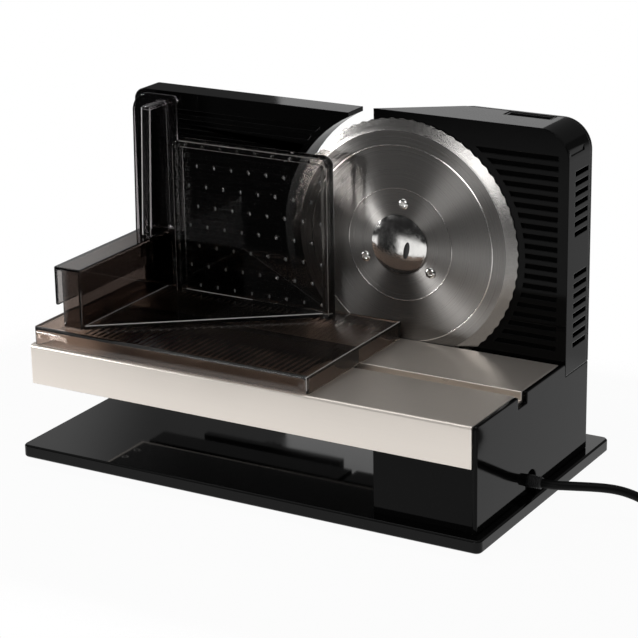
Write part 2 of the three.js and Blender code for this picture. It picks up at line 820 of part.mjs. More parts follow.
// Blade lock: a low domed chrome cap with a leaf-shaped slot and a stem, a quarter turn frees the blade
function bladeLock() {
  const back = hubFace - seat;
  const cap = turnedY([
    [0, back - lockHeight],
    [lockRadius * 0.6, back - lockHeight * 0.93],
    [lockRadius * 0.9, back - lockHeight * 0.75],
    [lockRadius, back - lockHeight * 0.35],
    [lockRadius, back],
    [0, back],
  ], bladeX, bladeZ, 48);
  const stem = rodY(back - 0.5, carrierBack - running, bladeX, bladeZ, lockStemRadius);
  const leaf = new THREE.Shape();
  leaf.absellipse(
    bladeX + keySlotOffset, bladeZ - keySlotDrop, keySlotWidth / 2, keySlotLength / 2,
    0, 2 * Math.PI, false, THREE.MathUtils.degToRad(-keySlotTilt),
  );
  const slot = prismY(leaf, back - lockHeight - 1, back - lockHeight + 1.2, 6);
  return cut(join(cap, stem), slot);
}

add('blade_lock', bladeLock(), chrome);

// Axle, bearings and the gear on the axle
const axleEnd = coverFront - running;
add('blade_axle', rodY(carrierBack, axleEnd, bladeX, bladeZ, axleRadius), plainSteel);
add(
  'front_bearing',
  ringY(innerFace + seat, frontBearingEnd - seat, bladeX, bladeZ, neckRadius + seat, frontBearingRadius),
  bronze,
);
add(
  'rear_bearing',
  ringY(rearBearingStart + seat, coverFront - seat, bladeX, bladeZ, axleRadius + seat, rearBearingRadius),
  bronze,
);

// Drive gear: straight teeth with a wide gap at the bottom for the worm's thread
const toothWidth = 1.1 * gearModule;
const gearTip = gearPitchRadius + gearModule;
const gearRoot = gearPitchRadius - 1.25 * gearModule;

function driveGear() {
  const shape = new THREE.Shape();
  const pitchAngle = 2 * Math.PI / gearTeeth;
  const corners = [
    [gearRoot, -toothWidth * 0.75], [gearTip, -toothWidth * 0.38],
    [gearTip, toothWidth * 0.38], [gearRoot, toothWidth * 0.75],
  ];
  for (let tooth = 0; tooth < gearTeeth; tooth += 1) {
    const middle = -Math.PI / 2 + (tooth + 0.5) * pitchAngle;
    for (const [radius, across] of corners) {
      const angle = middle + across / radius;
      const x = bladeX + radius * Math.cos(angle);
      const z = bladeZ + radius * Math.sin(angle);
      if (tooth === 0 && across === corners[0][1]) shape.moveTo(x, z);
      else shape.lineTo(x, z);
    }
  }
  const wheel = prismY(shape, gearStart, gearEnd);
  const hub = rodY(gearStart, rearBearingStart - slack, bladeX, bladeZ, axleRadius + 5);
  const bore = rodY(gearStart - 1, rearBearingStart + 1, bladeX, bladeZ, axleRadius + seat);
  return cut(join(wheel, hub), bore);
}

add('drive_gear', driveGear(), gearPlastic);

// Worm: a right-hand thread on a core, in mesh with the gear from below
const threadRoot = 1.3 * gearModule;
const threadTip = 0.7 * gearModule;
const threadOuter = wormCore + 1.7 * gearModule;
const wormLength = wormPitch * wormTurns + threadRoot;
const shaftRadius = 2.5;

function worm() {
  const stepsPerTurn = 14;
  const steps = Math.round(wormTurns * stepsPerTurn);
  const section = [
    [wormCore - 0.6, -threadRoot / 2], [wormCore - 0.6, threadRoot / 2],
    [threadOuter, threadTip / 2], [threadOuter, -threadTip / 2],
  ];
  const positions = [];
  const index = [];
  for (let i = 0; i <= steps; i += 1) {
    const turn = i / stepsPerTurn - wormTurns / 2;
    const angle = turn * 2 * Math.PI;
    for (const [radius, along] of section) {
      positions.push(
        bladeX + turn * wormPitch + along,
        motorY - radius * Math.sin(angle),
        wormZ + radius * Math.cos(angle),
      );
    }
  }
  const sides = section.length;
  for (let i = 0; i < steps; i += 1) {
    for (let k = 0; k < sides; k += 1) {
      const a = i * sides + k;
      const b = i * sides + (k + 1) % sides;
      index.push(a, b, a + sides, b, b + sides, a + sides);
    }
  }
  const last = steps * sides;
  index.push(0, 2, 1, 0, 3, 2, last, last + 1, last + 2, last, last + 2, last + 3);
  const thread = new THREE.BufferGeometry();
  thread.setAttribute('position', new THREE.Float32BufferAttribute(positions, 3));
  thread.setIndex(index);
  const start = bladeX - wormLength / 2;
  const core = rodX(start, start + wormLength, motorY, wormZ, wormCore, 14);
  const bore = rodX(start - 3, start + wormLength + 3, motorY, wormZ, shaftRadius + seat, 18);
  return cut(join(core, toSolid(thread)), bore);
}

add('worm', worm(), plainSteel);

// Motor: can, end cap, armature and shaft, lying along X behind the vents
const bushWidth = 5;
const bushEnd = bladeX - wormLength / 2 - 2;
const bushStart = bushEnd - bushWidth;
const canSkin = 2;
const motorEnd = motorStart + motorLength;
const endCapWidth = 3;
const armatureGap = 1.2;

function motorCan() {
  const can = rodX(motorStart, motorEnd, motorY, wormZ, motorRadius, 36);
  const hollow = rodX(motorStart + canSkin, motorEnd + 1, motorY, wormZ, motorRadius - canSkin, 36);
  const shaftHole = rodX(motorStart - 1, motorStart + canSkin + 1, motorY, wormZ, shaftRadius + slack, 18);
  return cut(can, hollow, shaftHole);
}

add('motor_can', motorCan(), plainSteel);
add('motor_end_cap', cut(
  rodX(motorEnd + seat, motorEnd + seat + endCapWidth, motorY, wormZ, motorRadius, 36),
  rodX(motorEnd - 1, motorEnd + endCapWidth + 1, motorY, wormZ, shaftRadius + seat, 18),
), innerPlastic);
add('motor_armature', cut(
  rodX(motorStart + 8, motorEnd - 8, motorY, wormZ, motorRadius - canSkin - armatureGap, 24),
  rodX(motorStart, motorEnd, motorY, wormZ, shaftRadius + seat, 18),
), bronze);
add('motor_shaft', rodX(bushStart + 1, motorEnd + endCapWidth, motorY, wormZ, shaftRadius, 18), plainSteel);
add('worm_bush', cut(
  block(bushStart, bushEnd, innerFace + seat, motorY + 8, wormZ - 7, wormZ + 7),
  rodX(bushStart - 1, bushEnd + 1, motorY, wormZ, shaftRadius + seat, 18),
), bronze);

// Electrical pieces on the floor of the lower housing
const capacitorRadius = 13;
const capacitorLength = 50;
const capacitorX = boxLeft + housingWall + capacitorRadius + 6;
const capacitorBossGap = 7.5;
const capacitorY = bossRadius + capacitorBossGap - baseScrewY;
const terminalX = boxRight - 30;
const terminalY = cordExitY + 14;
add('run_capacitor', rodY(
  capacitorY, capacitorY + capacitorLength, capacitorX, boxFloor + capacitorRadius, capacitorRadius, 24,
), innerPlastic);
add('terminal_block', block(
  terminalX, terminalX + 18, terminalY, terminalY + 16, boxFloor, boxFloor + 14,
), innerPlastic);

// Stop plate: a hollow black plate with a round cut-out that follows the blade
function stopBody(margin, y0, y1) {
  const top = stopTop - margin;
  const left = stopLeft + margin;
  const corner = stopCorner - margin;
  const shape = new THREE.Shape();
  shape.moveTo(left, skirtBottom + margin);
  shape.lineTo(stopLowerRight - margin, skirtBottom + margin);
  shape.lineTo(stopLowerRight - margin, bladeZ);
  shape.lineTo(stopRight - margin, bladeZ);
  shape.lineTo(stopRight - margin, top);
  shape.lineTo(left + corner, top);
  shape.absarc(left + corner, top - corner, corner, Math.PI / 2, Math.PI);
  return cut(prismY(shape, y0, y1), rodY(y0 - 1, y1 + 1, bladeX, bladeZ, stopCutRadius + margin, 72));
}

const stopRibLeft = -131;

function stopPlate() {
  const hollow = stopBody(stopWall, housingFront + stopWall, stopBack + 1);
  const shell = cut(stopBody(0, housingFront, stopBack), hollow);
  const guides = rodPlaces.map((x) => rodY(
    housingFront + stopWall - 0.5, stopBack - 1, x, rodHeight, rodRadius + 4,
  ));
  const rodHoles = rodPlaces.map((x) => rodY(housingFront - 1, stopBack + 1, x, rodHeight, rodRadius + slack));
  const ribField = rodY(housingFront - 3, housingFront + 3, bladeX, bladeZ, stopCutRadius + 5, 48);
  const grooves = ribGrooves(
    stopRibLeft, bladeX - 30, tableTop + ribRim, stopTop - ribRim, housingFront,
  ).map((groove) => groove.subtract(ribField));
  return cut(join(shell, ...guides), ...rodHoles, ...grooves);
}

add('stop_plate', stopPlate(), glossBlack);

// Guide rods, the bridge behind them, and the screw drive of the thickness knob
const bridgeFront = stopBack + stopTravel + 2;
const bridgeThickness = 6;
const bridgeBack = bridgeFront + bridgeThickness;
const drumFront = housingFront + stopWall + stopTravel + running;
const knobFront = bridgeBack + 1;
const studEnd = drumFront + 2;
const drumBoreEnd = studEnd + stopTravel + running;

rodPlaces.forEach((x, i) => {
  const side = i === 0 ? 'left' : 'right';
  const rod = rodY(socketFront + 4 + seat, bridgeBack - seat, x, rodHeight, rodRadius, 24);
  add(`guide_rod_${side}`, rod, plainSteel);
});

function guideBridge() {
  const bar = block(
    rodLeft - socketHalf, rodRight + socketHalf, bridgeFront, bridgeBack,
    rodHeight - socketHalf, rodHeight + socketHalf,
  );
  const boss = rodY(bridgeFront, bridgeBack, knobX, knobZ, drumRadius + 5);
  const rodHoles = rodPlaces.map(
    (x) => rodY(bridgeFront - 1, bridgeBack + 1, x, rodHeight, rodRadius + seat, 24),
  );
  const drumHole = rodY(bridgeFront - 1, bridgeBack + 1, knobX, knobZ, drumRadius + slack);
  return cut(join(bar, boss), ...rodHoles, drumHole);
}

add('guide_bridge', guideBridge(), innerPlastic);
add('thickness_stud', rodY(housingFront + stopWall, studEnd, knobX, knobZ, studRadius, 24), plainSteel);
add('thickness_drum', cut(
  rodY(drumFront, knobFront, knobX, knobZ, drumRadius),
  rodY(drumFront - 1, drumBoreEnd, knobX, knobZ, studRadius + running, 24),
), gearPlastic);

// Thickness knob with finger flutes around its rim and a pointer ridge on its face
const knobFlutes = 24;
const fluteDepth = 0.9;

function thicknessKnob() {
  const stepsPerFlute = 4;
  const count = knobFlutes * stepsPerFlute;
  const rim = Array.from({ length: count }, (_, i) => {
    const angle = i / count * 2 * Math.PI;
    const radius = knobRadius - fluteDepth * (1 - Math.cos(angle * knobFlutes)) / 2;
    return [knobX + radius * Math.cos(angle), knobZ + radius * Math.sin(angle)];
  });
  const back = knobFront + knobThickness;
  const disc = prismY(polygon(rim), knobFront, back - 2);
  const face = rodY(back - 2.5, back, knobX, knobZ, knobRadius - 3, 36);
  const ridge = block(knobX - 1.2, knobX + 1.2, back - 2, back + 0.8, knobZ + 4, knobZ + knobRadius - 4);
  return join(disc, face, ridge);
}

add('thickness_knob', thicknessKnob(), glossBlack);

// Carriage tray: a clear plastic lid over the table, open below
function carriageTray() {
  const profile = new THREE.Shape();
  profile.moveTo(trayFront, trayBottom);
  profile.lineTo(trayBack, trayBottom);
  profile.lineTo(trayBack, trayTop);
  profile.lineTo(trayFront + trayEdgeRound, trayTop);
  profile.absarc(trayFront + trayEdgeRound, trayTop - trayEdgeRound, trayEdgeRound, Math.PI / 2, Math.PI);
  const outer = prismX(profile, trayLeft, trayRight, 6);
  const plan = roundedRectangle(trayLeft, trayRight, trayFront, trayBack, [5, 5, 1, 1]);
  const hollow = block(
    trayLeft + trayWall, trayRight - trayWall, trayFront + trayWall, trayBack - trayWall,
    trayBottom - 1, trayTop - trayWall,
  );
  return cut(outer.intersect(prismZ(plan, trayBottom - 1, trayTop + 1, 5)), hollow);
}

add('carriage_tray', carriageTray(), smokyPlastic);

// Runner under the tray, in the guide groove
const runnerLeft = trayLeft + 12;
const runnerRight = trayRight - trayWall - seat;
add('carriage_runner', block(
  runnerLeft, runnerRight, grooveCentre - grooveWidth / 2 + running, grooveCentre + grooveWidth / 2 - running,
  tableTop - grooveDepth + running, trayTop - trayWall - seat,
), innerPlastic);

// Grip wall on the tray: an upside-down channel with a hanging outer flange and a closed front end
const gripFoot = trayTop + seat;
const columnOuter = gripInner - 15.5;

function gripWallPiece() {
  const inner = block(gripInner - gripWall, gripInner, gripFront, gripBack, gripFoot, gripTop);
  const strip = block(gripOuter, gripInner, gripFront, gripBack, gripTop - gripWall, gripTop);
  const flange = block(gripOuter, gripOuter + gripWall, gripFront, gripBack, gripTop - flangeDrop, gripTop);
  const column = block(columnOuter, gripInner, gripFront, gripFront + gripWall, gripFoot, gripTop);
  return join(inner, strip, flange, column);
}

add('carriage_wall', gripWallPiece(), smokyPlastic);

// Thumb guard: a tall narrow nose on the grip wall, open on its outer side, with a wide back plate
const guardFoot = gripTop + seat;
const guardCorner = 14;
const guardLift = 4.3;
const guardHem = gripTop - flangeDrop + 4;

function thumbGuard() {
  const outer = guardInner - guardWidth;
  const front = prismX(polygon([
    [guardFront, guardFoot],
    [guardFront + gripWall, guardFoot],
    [guardFront + guardLean + gripWall, guardTop],
    [guardFront + guardLean, guardTop],
  ]), outer, guardInner);
  const side = prismX(polygon([
    [guardFront, guardFoot],
    [gripBack, guardFoot],
    [gripBack, guardTop],
    [guardFront + guardLean, guardTop],
  ]), guardInner - gripWall, guardInner);
  const lid = block(outer, guardInner, guardFront + guardLean, gripBack, guardTop - gripWall, guardTop);
  const plateTop = guardTop + guardLift;
  const shape = new THREE.Shape();
  shape.moveTo(guardPlateLeft, guardHem);
  shape.lineTo(gripOuter - slack, guardHem);
  shape.lineTo(gripOuter - slack, guardFoot);
  shape.lineTo(guardPlateRight, guardFoot);
  shape.lineTo(guardPlateRight, plateTop - 3);
  shape.absarc(guardPlateRight - 3, plateTop - 3, 3, 0, Math.PI / 2);
  const cornerX = guardPlateLeft + guardPlateTaper + guardCorner;
  shape.lineTo(cornerX, plateTop);
  shape.absarc(cornerX, plateTop - guardCorner, guardCorner, Math.PI / 2, Math.PI);
  const plate = prismY(shape, gripBack - gripWall, gripBack, 6);
  return join(front, side, lid, plate);
}

add('thumb_guard', thumbGuard(), smokyPlastic);

// Leftover holder: a rimmed plate with spikes towards the blade, on a three-cornered foot
const pusherFoot = trayTop + slack;
const pusherFloorLeft = gripInner + running;
const plateFront = pusherBack - pusherSkin;

function foodPusher() {
  const outline = roundedRectangle(
    pusherLeft, pusherRight, pusherFoot, pusherTop, [0, 0, pusherCorner, pusherCorner],
  );
  const inside = roundedRectangle(
    pusherLeft + pusherRim, pusherRight - pusherRim, pusherFoot - 1, pusherTop - pusherRim,
    [0, 0, pusherCorner / 2, pusherCorner / 2],
  );
  const plate = prismY(outline, plateFront, pusherBack, 5);
  const rim = cut(
    prismY(outline, pusherBack - pusherRimDepth, plateFront + 0.5, 5),
    prismY(inside, pusherBack - pusherRimDepth - 1, plateFront + 1, 5),
  );
  const floor = prismZ(polygon([
    [pusherFloorLeft, pusherFloorFront],
    [pusherRight, plateFront],
    [pusherRight, pusherBack],
    [pusherFloorLeft, pusherBack],
  ]), pusherFoot, pusherFoot + pusherSkin);
  const spikes = [];
  const columns = Math.floor((pusherRight - pusherLeft - 2 * pusherRim) / spikeColumns);
  const rows = Math.floor((pusherTop - pusherFoot - pusherRim) / spikeRows);
  for (let row = 0; row < rows; row += 1) {
    const shift = row % 2 === 0 ? 0 : spikeColumns / 2;
    for (let column = 0; column < columns; column += 1) {
      const spike = new THREE.ConeGeometry(spikeRadius, spikeHeight + 0.5, 4);
      spike.translate(
        pusherLeft + pusherRim + 3 + shift + column * spikeColumns,
        pusherBack - 0.5 + (spikeHeight + 0.5) / 2,
        pusherTop - pusherRim - row * spikeRows,
      );
      spikes.push(toSolid(spike));
    }
  }
  return join(plate, rim, floor, ...spikes);
}

add('food_pusher', foodPusher(), smokyPlastic);

// Strain relief: a tapered sleeve in the wall of the lower housing
const reliefEnd = bodyRight + reliefReach;
const reliefTaper = 1.1;
const collarWidth = 16;
const collarThickness = 3;

function strainRelief() {
  const geometry = new THREE.CylinderGeometry(reliefRadius - reliefTaper, reliefRadius, reliefLength, 24);
  geometry.rotateZ(-Math.PI / 2);
  geometry.translate(reliefEnd - reliefLength / 2, cordExitY, cordExitZ);
  const collarBack = boxRight - housingWall - seat;
  const collar = block(
    collarBack - collarThickness, collarBack, cordExitY - collarWidth / 2, cordExitY + collarWidth / 2,
    boxFloor + seat, cordExitZ + collarWidth / 2,
  );
  return join(toSolid(geometry), collar);
}

add('strain_relief', strainRelief(), rubber);

// Cord from the strain relief down to the floor, through points chosen by hand
const joinGap = 0.3;
const coilLead = 2 * cordRadius;
const stretchStart = reliefEnd + joinGap;
const stretchEnd = coilX - coilLead - joinGap;
const coilEntryY = coilY - coilOuterRadius;
const cordPoints = [
  [stretchStart, cordExitY, cordExitZ],
  [stretchStart + 7, cordExitY + 0.4, cordExitZ],
  [190, -10.2, 22.9],
  [198, -7.4, 23],
  [206, -4.2, 22.9],
  [214, -1, 22.5],
  [221, 1.7, 21.6],
  [228, 4.1, 19.8],
  [235, 6.3, 17],
  [242, 8.2, 13.6],
  [249, 9.8, 10],
  [256, 11, 6.7],
  [262, 11.6, 4.6],
  [267, 11.9, 3.5],
  [stretchEnd - 5, coilEntryY, 3.1],
  [stretchEnd, coilEntryY, 3.1],
];

function cordStretch() {
  const path = new THREE.CatmullRomCurve3(cordPoints.map(([x, y, z]) => new THREE.Vector3(x, y, z)));
  const section = polygon(Array.from({ length: 10 }, (_, i) => [
    cordRadius * Math.cos(i / 5 * Math.PI),
    cordRadius * Math.sin(i / 5 * Math.PI),
  ]));
  return toSolid(new THREE.ExtrudeGeometry(section, { steps: 22, extrudePath: path, bevelEnabled: false }));
}

add('cord_stretch', cordStretch(), cordPlastic);

// Coil: the unseen length, wound inward on the floor and outward again on top of itself
const coilFloor = cordRadius + 0.1;
const coilTurns = 2 * coilLoops + 0.5;
const stepsPerLoop = 24;

function coilPoint(turn) {
  const inner = coilOuterRadius - coilPitch * coilLoops;
  const climb = Math.min(Math.max((turn - coilLoops) / 0.5, 0), 1);
  const reversal = turn - coilLoops;
  let radius = coilOuterRadius - coilPitch * turn;
  if (reversal > 0.5) radius = inner + coilPitch * (reversal - 0.5);
  else if (reversal > 0) radius = inner - coilPitch * reversal + 2 * coilPitch * reversal * reversal;
  const angle = -Math.PI / 2 + turn * 2 * Math.PI;
  const lift = coilPitch * climb * climb * (3 - 2 * climb);
  return new THREE.Vector3(
    coilX + radius * Math.cos(angle), coilY + radius * Math.sin(angle), coilFloor + lift,
  );
}

function coilPath() {
  const points = [new THREE.Vector3(coilX - coilLead, coilEntryY, coilFloor)];
  const steps = Math.round(coilTurns * stepsPerLoop);
  for (let i = 0; i <= steps; i += 1) points.push(coilPoint(i / steps * coilTurns));
  const end = points[points.length - 1];
  for (const share of [0.25, 0.6, 0.85, 1]) {
    points.push(new THREE.Vector3(end.x + tailLength * share, end.y, end.z));
  }
  return points;
}

// A closed tube with a given number of sides along a row of points
function tube(points, radius, sides) {
  const positions = [];
  const index = [];
  const up = new THREE.Vector3(0, 0, 1);
  points.forEach((point, i) => {
    const before = points[Math.max(i - 1, 0)];
    const after = points[Math.min(i + 1, points.length - 1)];
    const along = after.clone().sub(before).normalize();
    const across = up.clone().cross(along).normalize();
    const over = along.clone().cross(across);
    for (let k = 0; k < sides; k += 1) {
      const angle = k / sides * 2 * Math.PI;
      const spot = point.clone();
      spot.addScaledVector(across, radius * Math.cos(angle));
      spot.addScaledVector(over, radius * Math.sin(angle));
      positions.push(spot.x, spot.y, spot.z);
    }
  });
  for (let i = 0; i < points.length - 1; i += 1) {
    for (let k = 0; k < sides; k += 1) {
      const a = i * sides + k;
      const b = i * sides + (k + 1) % sides;
      index.push(a, b, a + sides, b, b + sides, a + sides);
    }
  }
  const last = (points.length - 1) * sides;
  for (let k = 1; k < sides - 1; k += 1) {
    index.push(0, k + 1, k, last, last + k, last + k + 1);
  }
  const geometry = new THREE.BufferGeometry();
  geometry.setAttribute('position', new THREE.Float32BufferAttribute(positions, 3));
  geometry.setIndex(index);
  return geometry;
}

// Least gap between the coil's turns, measured on points half a loop or more apart
function leastCoilGap(points) {
  let least = Infinity;
  points.forEach((point, i) => {
    for (let j = i + stepsPerLoop / 2; j < points.length; j += 1) {
      least = Math.min(least, point.distanceTo(points[j]) - 2 * cordRadius);
    }
  });
  return least;
}

const coilPoints = coilPath();
console.log(`least gap in the coil: ${leastCoilGap(coilPoints).toFixed(2)} mm`);
add('cord_coil', toSolid(tube(coilPoints, cordRadius, 6)), cordPlastic);

// Plug: a flat tapered two-pin mains plug lying beside the coil
const plugStart = coilPoints[coilPoints.length - 1].x + joinGap;
const plugZ = coilFloor + coilPitch;
const plugNeck = 10;

function plug() {
  const outline = new THREE.Shape();
  const half = plugWidth / 2;
  outline.moveTo(plugStart, coilEntryY - plugNeck / 2);
  outline.lineTo(plugStart + plugLength * 0.55, coilEntryY - half);
  outline.lineTo(plugStart + plugLength, coilEntryY - half);
  outline.lineTo(plugStart + plugLength, coilEntryY + half);
  outline.lineTo(plugStart + plugLength * 0.55, coilEntryY + half);
  outline.lineTo(plugStart, coilEntryY + plugNeck / 2);
  const body = prismZ(outline, plugZ - plugThickness / 2, plugZ + plugThickness / 2);
  const pins = [-1, 1].map((side) => rodX(
    plugStart + plugLength - 1, plugStart + plugLength + pinLength,
    coilEntryY + side * pinSpacing / 2, plugZ, pinRadius, 14,
  ));
  return join(body, ...pins);
}

add('mains_plug', plug(), cordPlastic);

export default slicer;
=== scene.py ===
import math

import bmesh
import bpy
from mathutils import Matrix, Vector


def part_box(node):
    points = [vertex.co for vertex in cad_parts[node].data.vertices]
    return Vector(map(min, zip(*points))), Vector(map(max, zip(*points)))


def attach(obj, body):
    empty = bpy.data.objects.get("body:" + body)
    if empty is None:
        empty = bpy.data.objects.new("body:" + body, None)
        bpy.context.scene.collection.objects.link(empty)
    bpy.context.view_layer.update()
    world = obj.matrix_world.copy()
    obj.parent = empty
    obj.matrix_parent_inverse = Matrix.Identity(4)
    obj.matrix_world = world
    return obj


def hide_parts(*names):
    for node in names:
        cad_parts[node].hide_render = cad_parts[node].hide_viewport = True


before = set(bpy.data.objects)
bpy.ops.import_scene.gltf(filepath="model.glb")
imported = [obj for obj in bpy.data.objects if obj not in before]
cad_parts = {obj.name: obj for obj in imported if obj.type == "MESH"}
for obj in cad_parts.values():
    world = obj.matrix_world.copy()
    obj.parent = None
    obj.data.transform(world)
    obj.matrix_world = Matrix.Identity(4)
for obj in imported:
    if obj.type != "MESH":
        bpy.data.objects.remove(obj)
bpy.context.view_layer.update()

# Studio camera: a long lens at the photograph's viewing angle, rolled by about a degree.
# It looks at the slicer from the front right and from a little above.
scene = bpy.context.scene
scene.view_settings.view_transform = "Standard"

camera_azimuth = math.radians(30.476)
camera_elevation = math.radians(18.631)
camera_roll = math.radians(-0.982)
camera_distance = 1.60049
aim_right = 0.004032
aim_up = 0.096842
lens_length = 132.55
sensor_width = 36

to_camera = Vector((
    math.sin(camera_azimuth) * math.cos(camera_elevation),
    -math.cos(camera_azimuth) * math.cos(camera_elevation),
    math.sin(camera_elevation),
))
level_right = Vector((math.cos(camera_azimuth), math.sin(camera_azimuth), 0))
level_up = to_camera.cross(level_right)
image_right = level_right * math.cos(camera_roll) + level_up * math.sin(camera_roll)
image_up = level_up * math.cos(camera_roll) - level_right * math.sin(camera_roll)
camera_place = level_right * aim_right + level_up * aim_up + to_camera * camera_distance
camera_turn = Matrix((image_right, image_up, to_camera)).transposed().to_4x4()
camera_data = bpy.data.cameras.new("studio_camera")
camera_data.sensor_width = sensor_width
camera_data.lens = lens_length
camera = bpy.data.objects.new("studio_camera", camera_data)
camera.matrix_world = Matrix.Translation(camera_place) @ camera_turn
scene.collection.objects.link(camera)
scene.camera = camera

# Floor paper: a pale matt sheet that the slicer stands on and that holds its shadow.
# A little way outside the slicer it turns clear, and so ends softly in the white backdrop.
floor_half = 1.2
floor_drop = 0.0004
floor_core = (0.32, 0.24, 0)
floor_fade = (0.0, 0.05)
floor_lift = 0.96
floor_mesh = bmesh.new()
bmesh.ops.create_grid(floor_mesh, x_segments=1, y_segments=1, size=floor_half)
bmesh.ops.translate(floor_mesh, verts=floor_mesh.verts, vec=(0, 0, -floor_drop))
floor_data = bpy.data.meshes.new("floor_paper")
floor_mesh.to_mesh(floor_data)
floor_mesh.free()
floor = bpy.data.objects.new("floor_paper", floor_data)
scene.collection.objects.link(floor)


def grey(level):
    """A colour without a hue."""
    return (level, level, level)


def new_finish(name, colour, roughness, metallic=0.0, gloss=0.5):
    """A finish with its shader, and the coordinates of the piece that carries it."""
    finish = bpy.data.materials.new(name)
    finish.use_nodes = True
    nodes = finish.node_tree.nodes
    shader = nodes["Principled BSDF"]
    shader.inputs["Base Color"].default_value = (*colour, 1)
    shader.inputs["Roughness"].default_value = roughness
    shader.inputs["Metallic"].default_value = metallic
    shader.inputs["Specular IOR Level"].default_value = gloss
    nodes.new("ShaderNodeTexCoord").name = "piece_place"
    return finish


def place_on(finish):
    """The coordinates of the piece that carries a finish."""
    return finish.node_tree.nodes["piece_place"].outputs["Object"]


def wired(owner, kind, feeds, **settings):
    """A step of a finish or of the backdrop, with its sockets set or led by other steps."""
    tree = owner.node_tree
    step = tree.nodes.new(kind)
    for name, value in settings.items():
        setattr(step, name, value)
    for socket, value in feeds.items():
        if isinstance(value, bpy.types.NodeSocket):
            tree.links.new(value, step.inputs[socket])
        else:
            step.inputs[socket].default_value = value
    return step.outputs


def joined(owner, operation, first, second):
    """Two values brought together."""
    return wired(owner, "ShaderNodeMath", {0: first, 1: second}, operation=operation)["Value"]


def from_place(owner, operation, first, second=(0, 0, 0)):
    """A place worked on by another, or its distance from the middle."""
    result = wired(owner, "ShaderNodeVectorMath", {0: first, 1: second}, operation=operation)
    return result["Value" if operation == "LENGTH" else "Vector"]


def spread(owner, value, low, high, start=0.3, end=0.7, form="LINEAR"):
    """A pattern's values brought into a range."""
    ends = {"Value": value, "From Min": start, "From Max": end, "To Min": low, "To Max": high}
    return wired(owner, "ShaderNodeMapRange", ends, interpolation_type=form)["Result"]


paper = new_finish("floor_paper", grey(0.86), 0.9, gloss=0.1)
floor_side = from_place(paper, "ABSOLUTE", place_on(paper))
floor_past = from_place(paper, "SUBTRACT", floor_side, floor_core)
floor_reach = from_place(paper, "LENGTH", from_place(paper, "MAXIMUM", floor_past))
floor_share = spread(paper, floor_reach, 0, 1, *floor_fade, "SMOOTHSTEP")
floor_rays = wired(paper, "ShaderNodeLightPath", {})
floor_mirrored = joined(paper, "MAXIMUM", floor_rays["Is Camera Ray"], floor_rays["Is Glossy Ray"])
floor_seen = joined(paper, "MULTIPLY", floor_mirrored, floor_lift)
floor_matt = paper.node_tree.nodes["Principled BSDF"].outputs["BSDF"]
floor_glow = wired(paper, "ShaderNodeEmission", {})["Emission"]
floor_clear = wired(paper, "ShaderNodeBsdfTransparent", {})["BSDF"]
floor_white = wired(paper, "ShaderNodeMixShader", {0: floor_seen, 1: floor_matt, 2: floor_glow})["Shader"]
floor_look = wired(paper, "ShaderNodeMixShader", {0: floor_share, 1: floor_white, 2: floor_clear})["Shader"]
paper.node_tree.links.new(floor_look, paper.node_tree.nodes["Material Output"].inputs["Surface"])
floor_data.materials.append(paper)

# Backdrop: white to the camera and through clear plastic. In reflections it is white behind and low,
# grey above that and dark in front, with a pale strip of worktop in front and a bright ceiling.
worktop_glow = 0.7
worktop_edge = (-0.15, 0.1)
behind_gap = 0.1
behind_edge = (0.25, 0.3)
behind_glow = (0.66, 0.2)
behind_side = (-0.57, -0.53)
front_glow = (0.02, 0.12)
front_rise = (0.0, 0.4)
front_to_back = (-0.3, 0.4)
strip_glow = 1.15
strip_bottom = (-0.41, -0.37)
strip_top = (-0.265, -0.225)
strip_gap_left = (-0.64, -0.61)
strip_gap_right = (-0.47, -0.45)
strip_right = (0.6, 0.9)
ceiling_glow = 0.5
ceiling_edge = (0.55, 0.8)
through_edge = (0.0, 0.2)
room_diffuse = 0.1
backdrop = bpy.data.worlds.new("backdrop")
backdrop.use_nodes = True
scene.world = backdrop
sky_place = wired(backdrop, "ShaderNodeTexCoord", {})["Generated"]
sky_axes = wired(backdrop, "ShaderNodeSeparateXYZ", {"Vector": sky_place})
sky_rays = wired(backdrop, "ShaderNodeLightPath", {})


def sky_ramp(axis, edge, low, high):
    """A smooth change of brightness over a soft edge across one axis of the room."""
    return spread(backdrop, sky_axes[axis], low, high, *edge, "SMOOTHSTEP")


def sky_blend(share, first, second):
    """One brightness of the room going over into another."""
    return wired(backdrop, "ShaderNodeMix", {"Factor": share, "A": first, "B": second})["Result"]


strip_sides = joined(
    backdrop, "MAXIMUM", sky_ramp("X", strip_gap_left, 1, 0), sky_ramp("X", strip_gap_right, 0, 1),
)
strip_sides = joined(backdrop, "MULTIPLY", strip_sides, sky_ramp("X", strip_right, 1, 0))
strip = joined(
    backdrop, "MULTIPLY", sky_ramp("Z", strip_bottom, 0, strip_glow), sky_ramp("Z", strip_top, 1, 0),
)
strip = joined(backdrop, "MULTIPLY", strip, strip_sides)
room_front = joined(backdrop, "ADD", strip, sky_ramp("Z", front_rise, *front_glow))
room_behind = sky_blend(
    sky_ramp("Z", behind_edge, 0, 1), sky_ramp("Z", worktop_edge, worktop_glow, behind_gap),
    sky_ramp("X", behind_side, *behind_glow),
)
room = sky_blend(sky_ramp("Y", front_to_back, 0, 1), room_front, room_behind)
room = joined(backdrop, "MAXIMUM", room, sky_ramp("Z", ceiling_edge, 0, ceiling_glow))
room_through = joined(
    backdrop, "MULTIPLY", sky_rays["Is Transmission Ray"], sky_ramp("Y", through_edge, 0, 1),
)
room_seen = joined(backdrop, "MAXIMUM", sky_rays["Is Camera Ray"], room_through)
room = sky_blend(room_seen, room, 1.0)
room = sky_blend(sky_rays["Is Diffuse Ray"], room, room_diffuse)
background = backdrop.node_tree.nodes["Background"]
background.inputs["Color"].default_value = (1, 1, 1, 1)
backdrop.node_tree.links.new(room, background.inputs["Strength"])

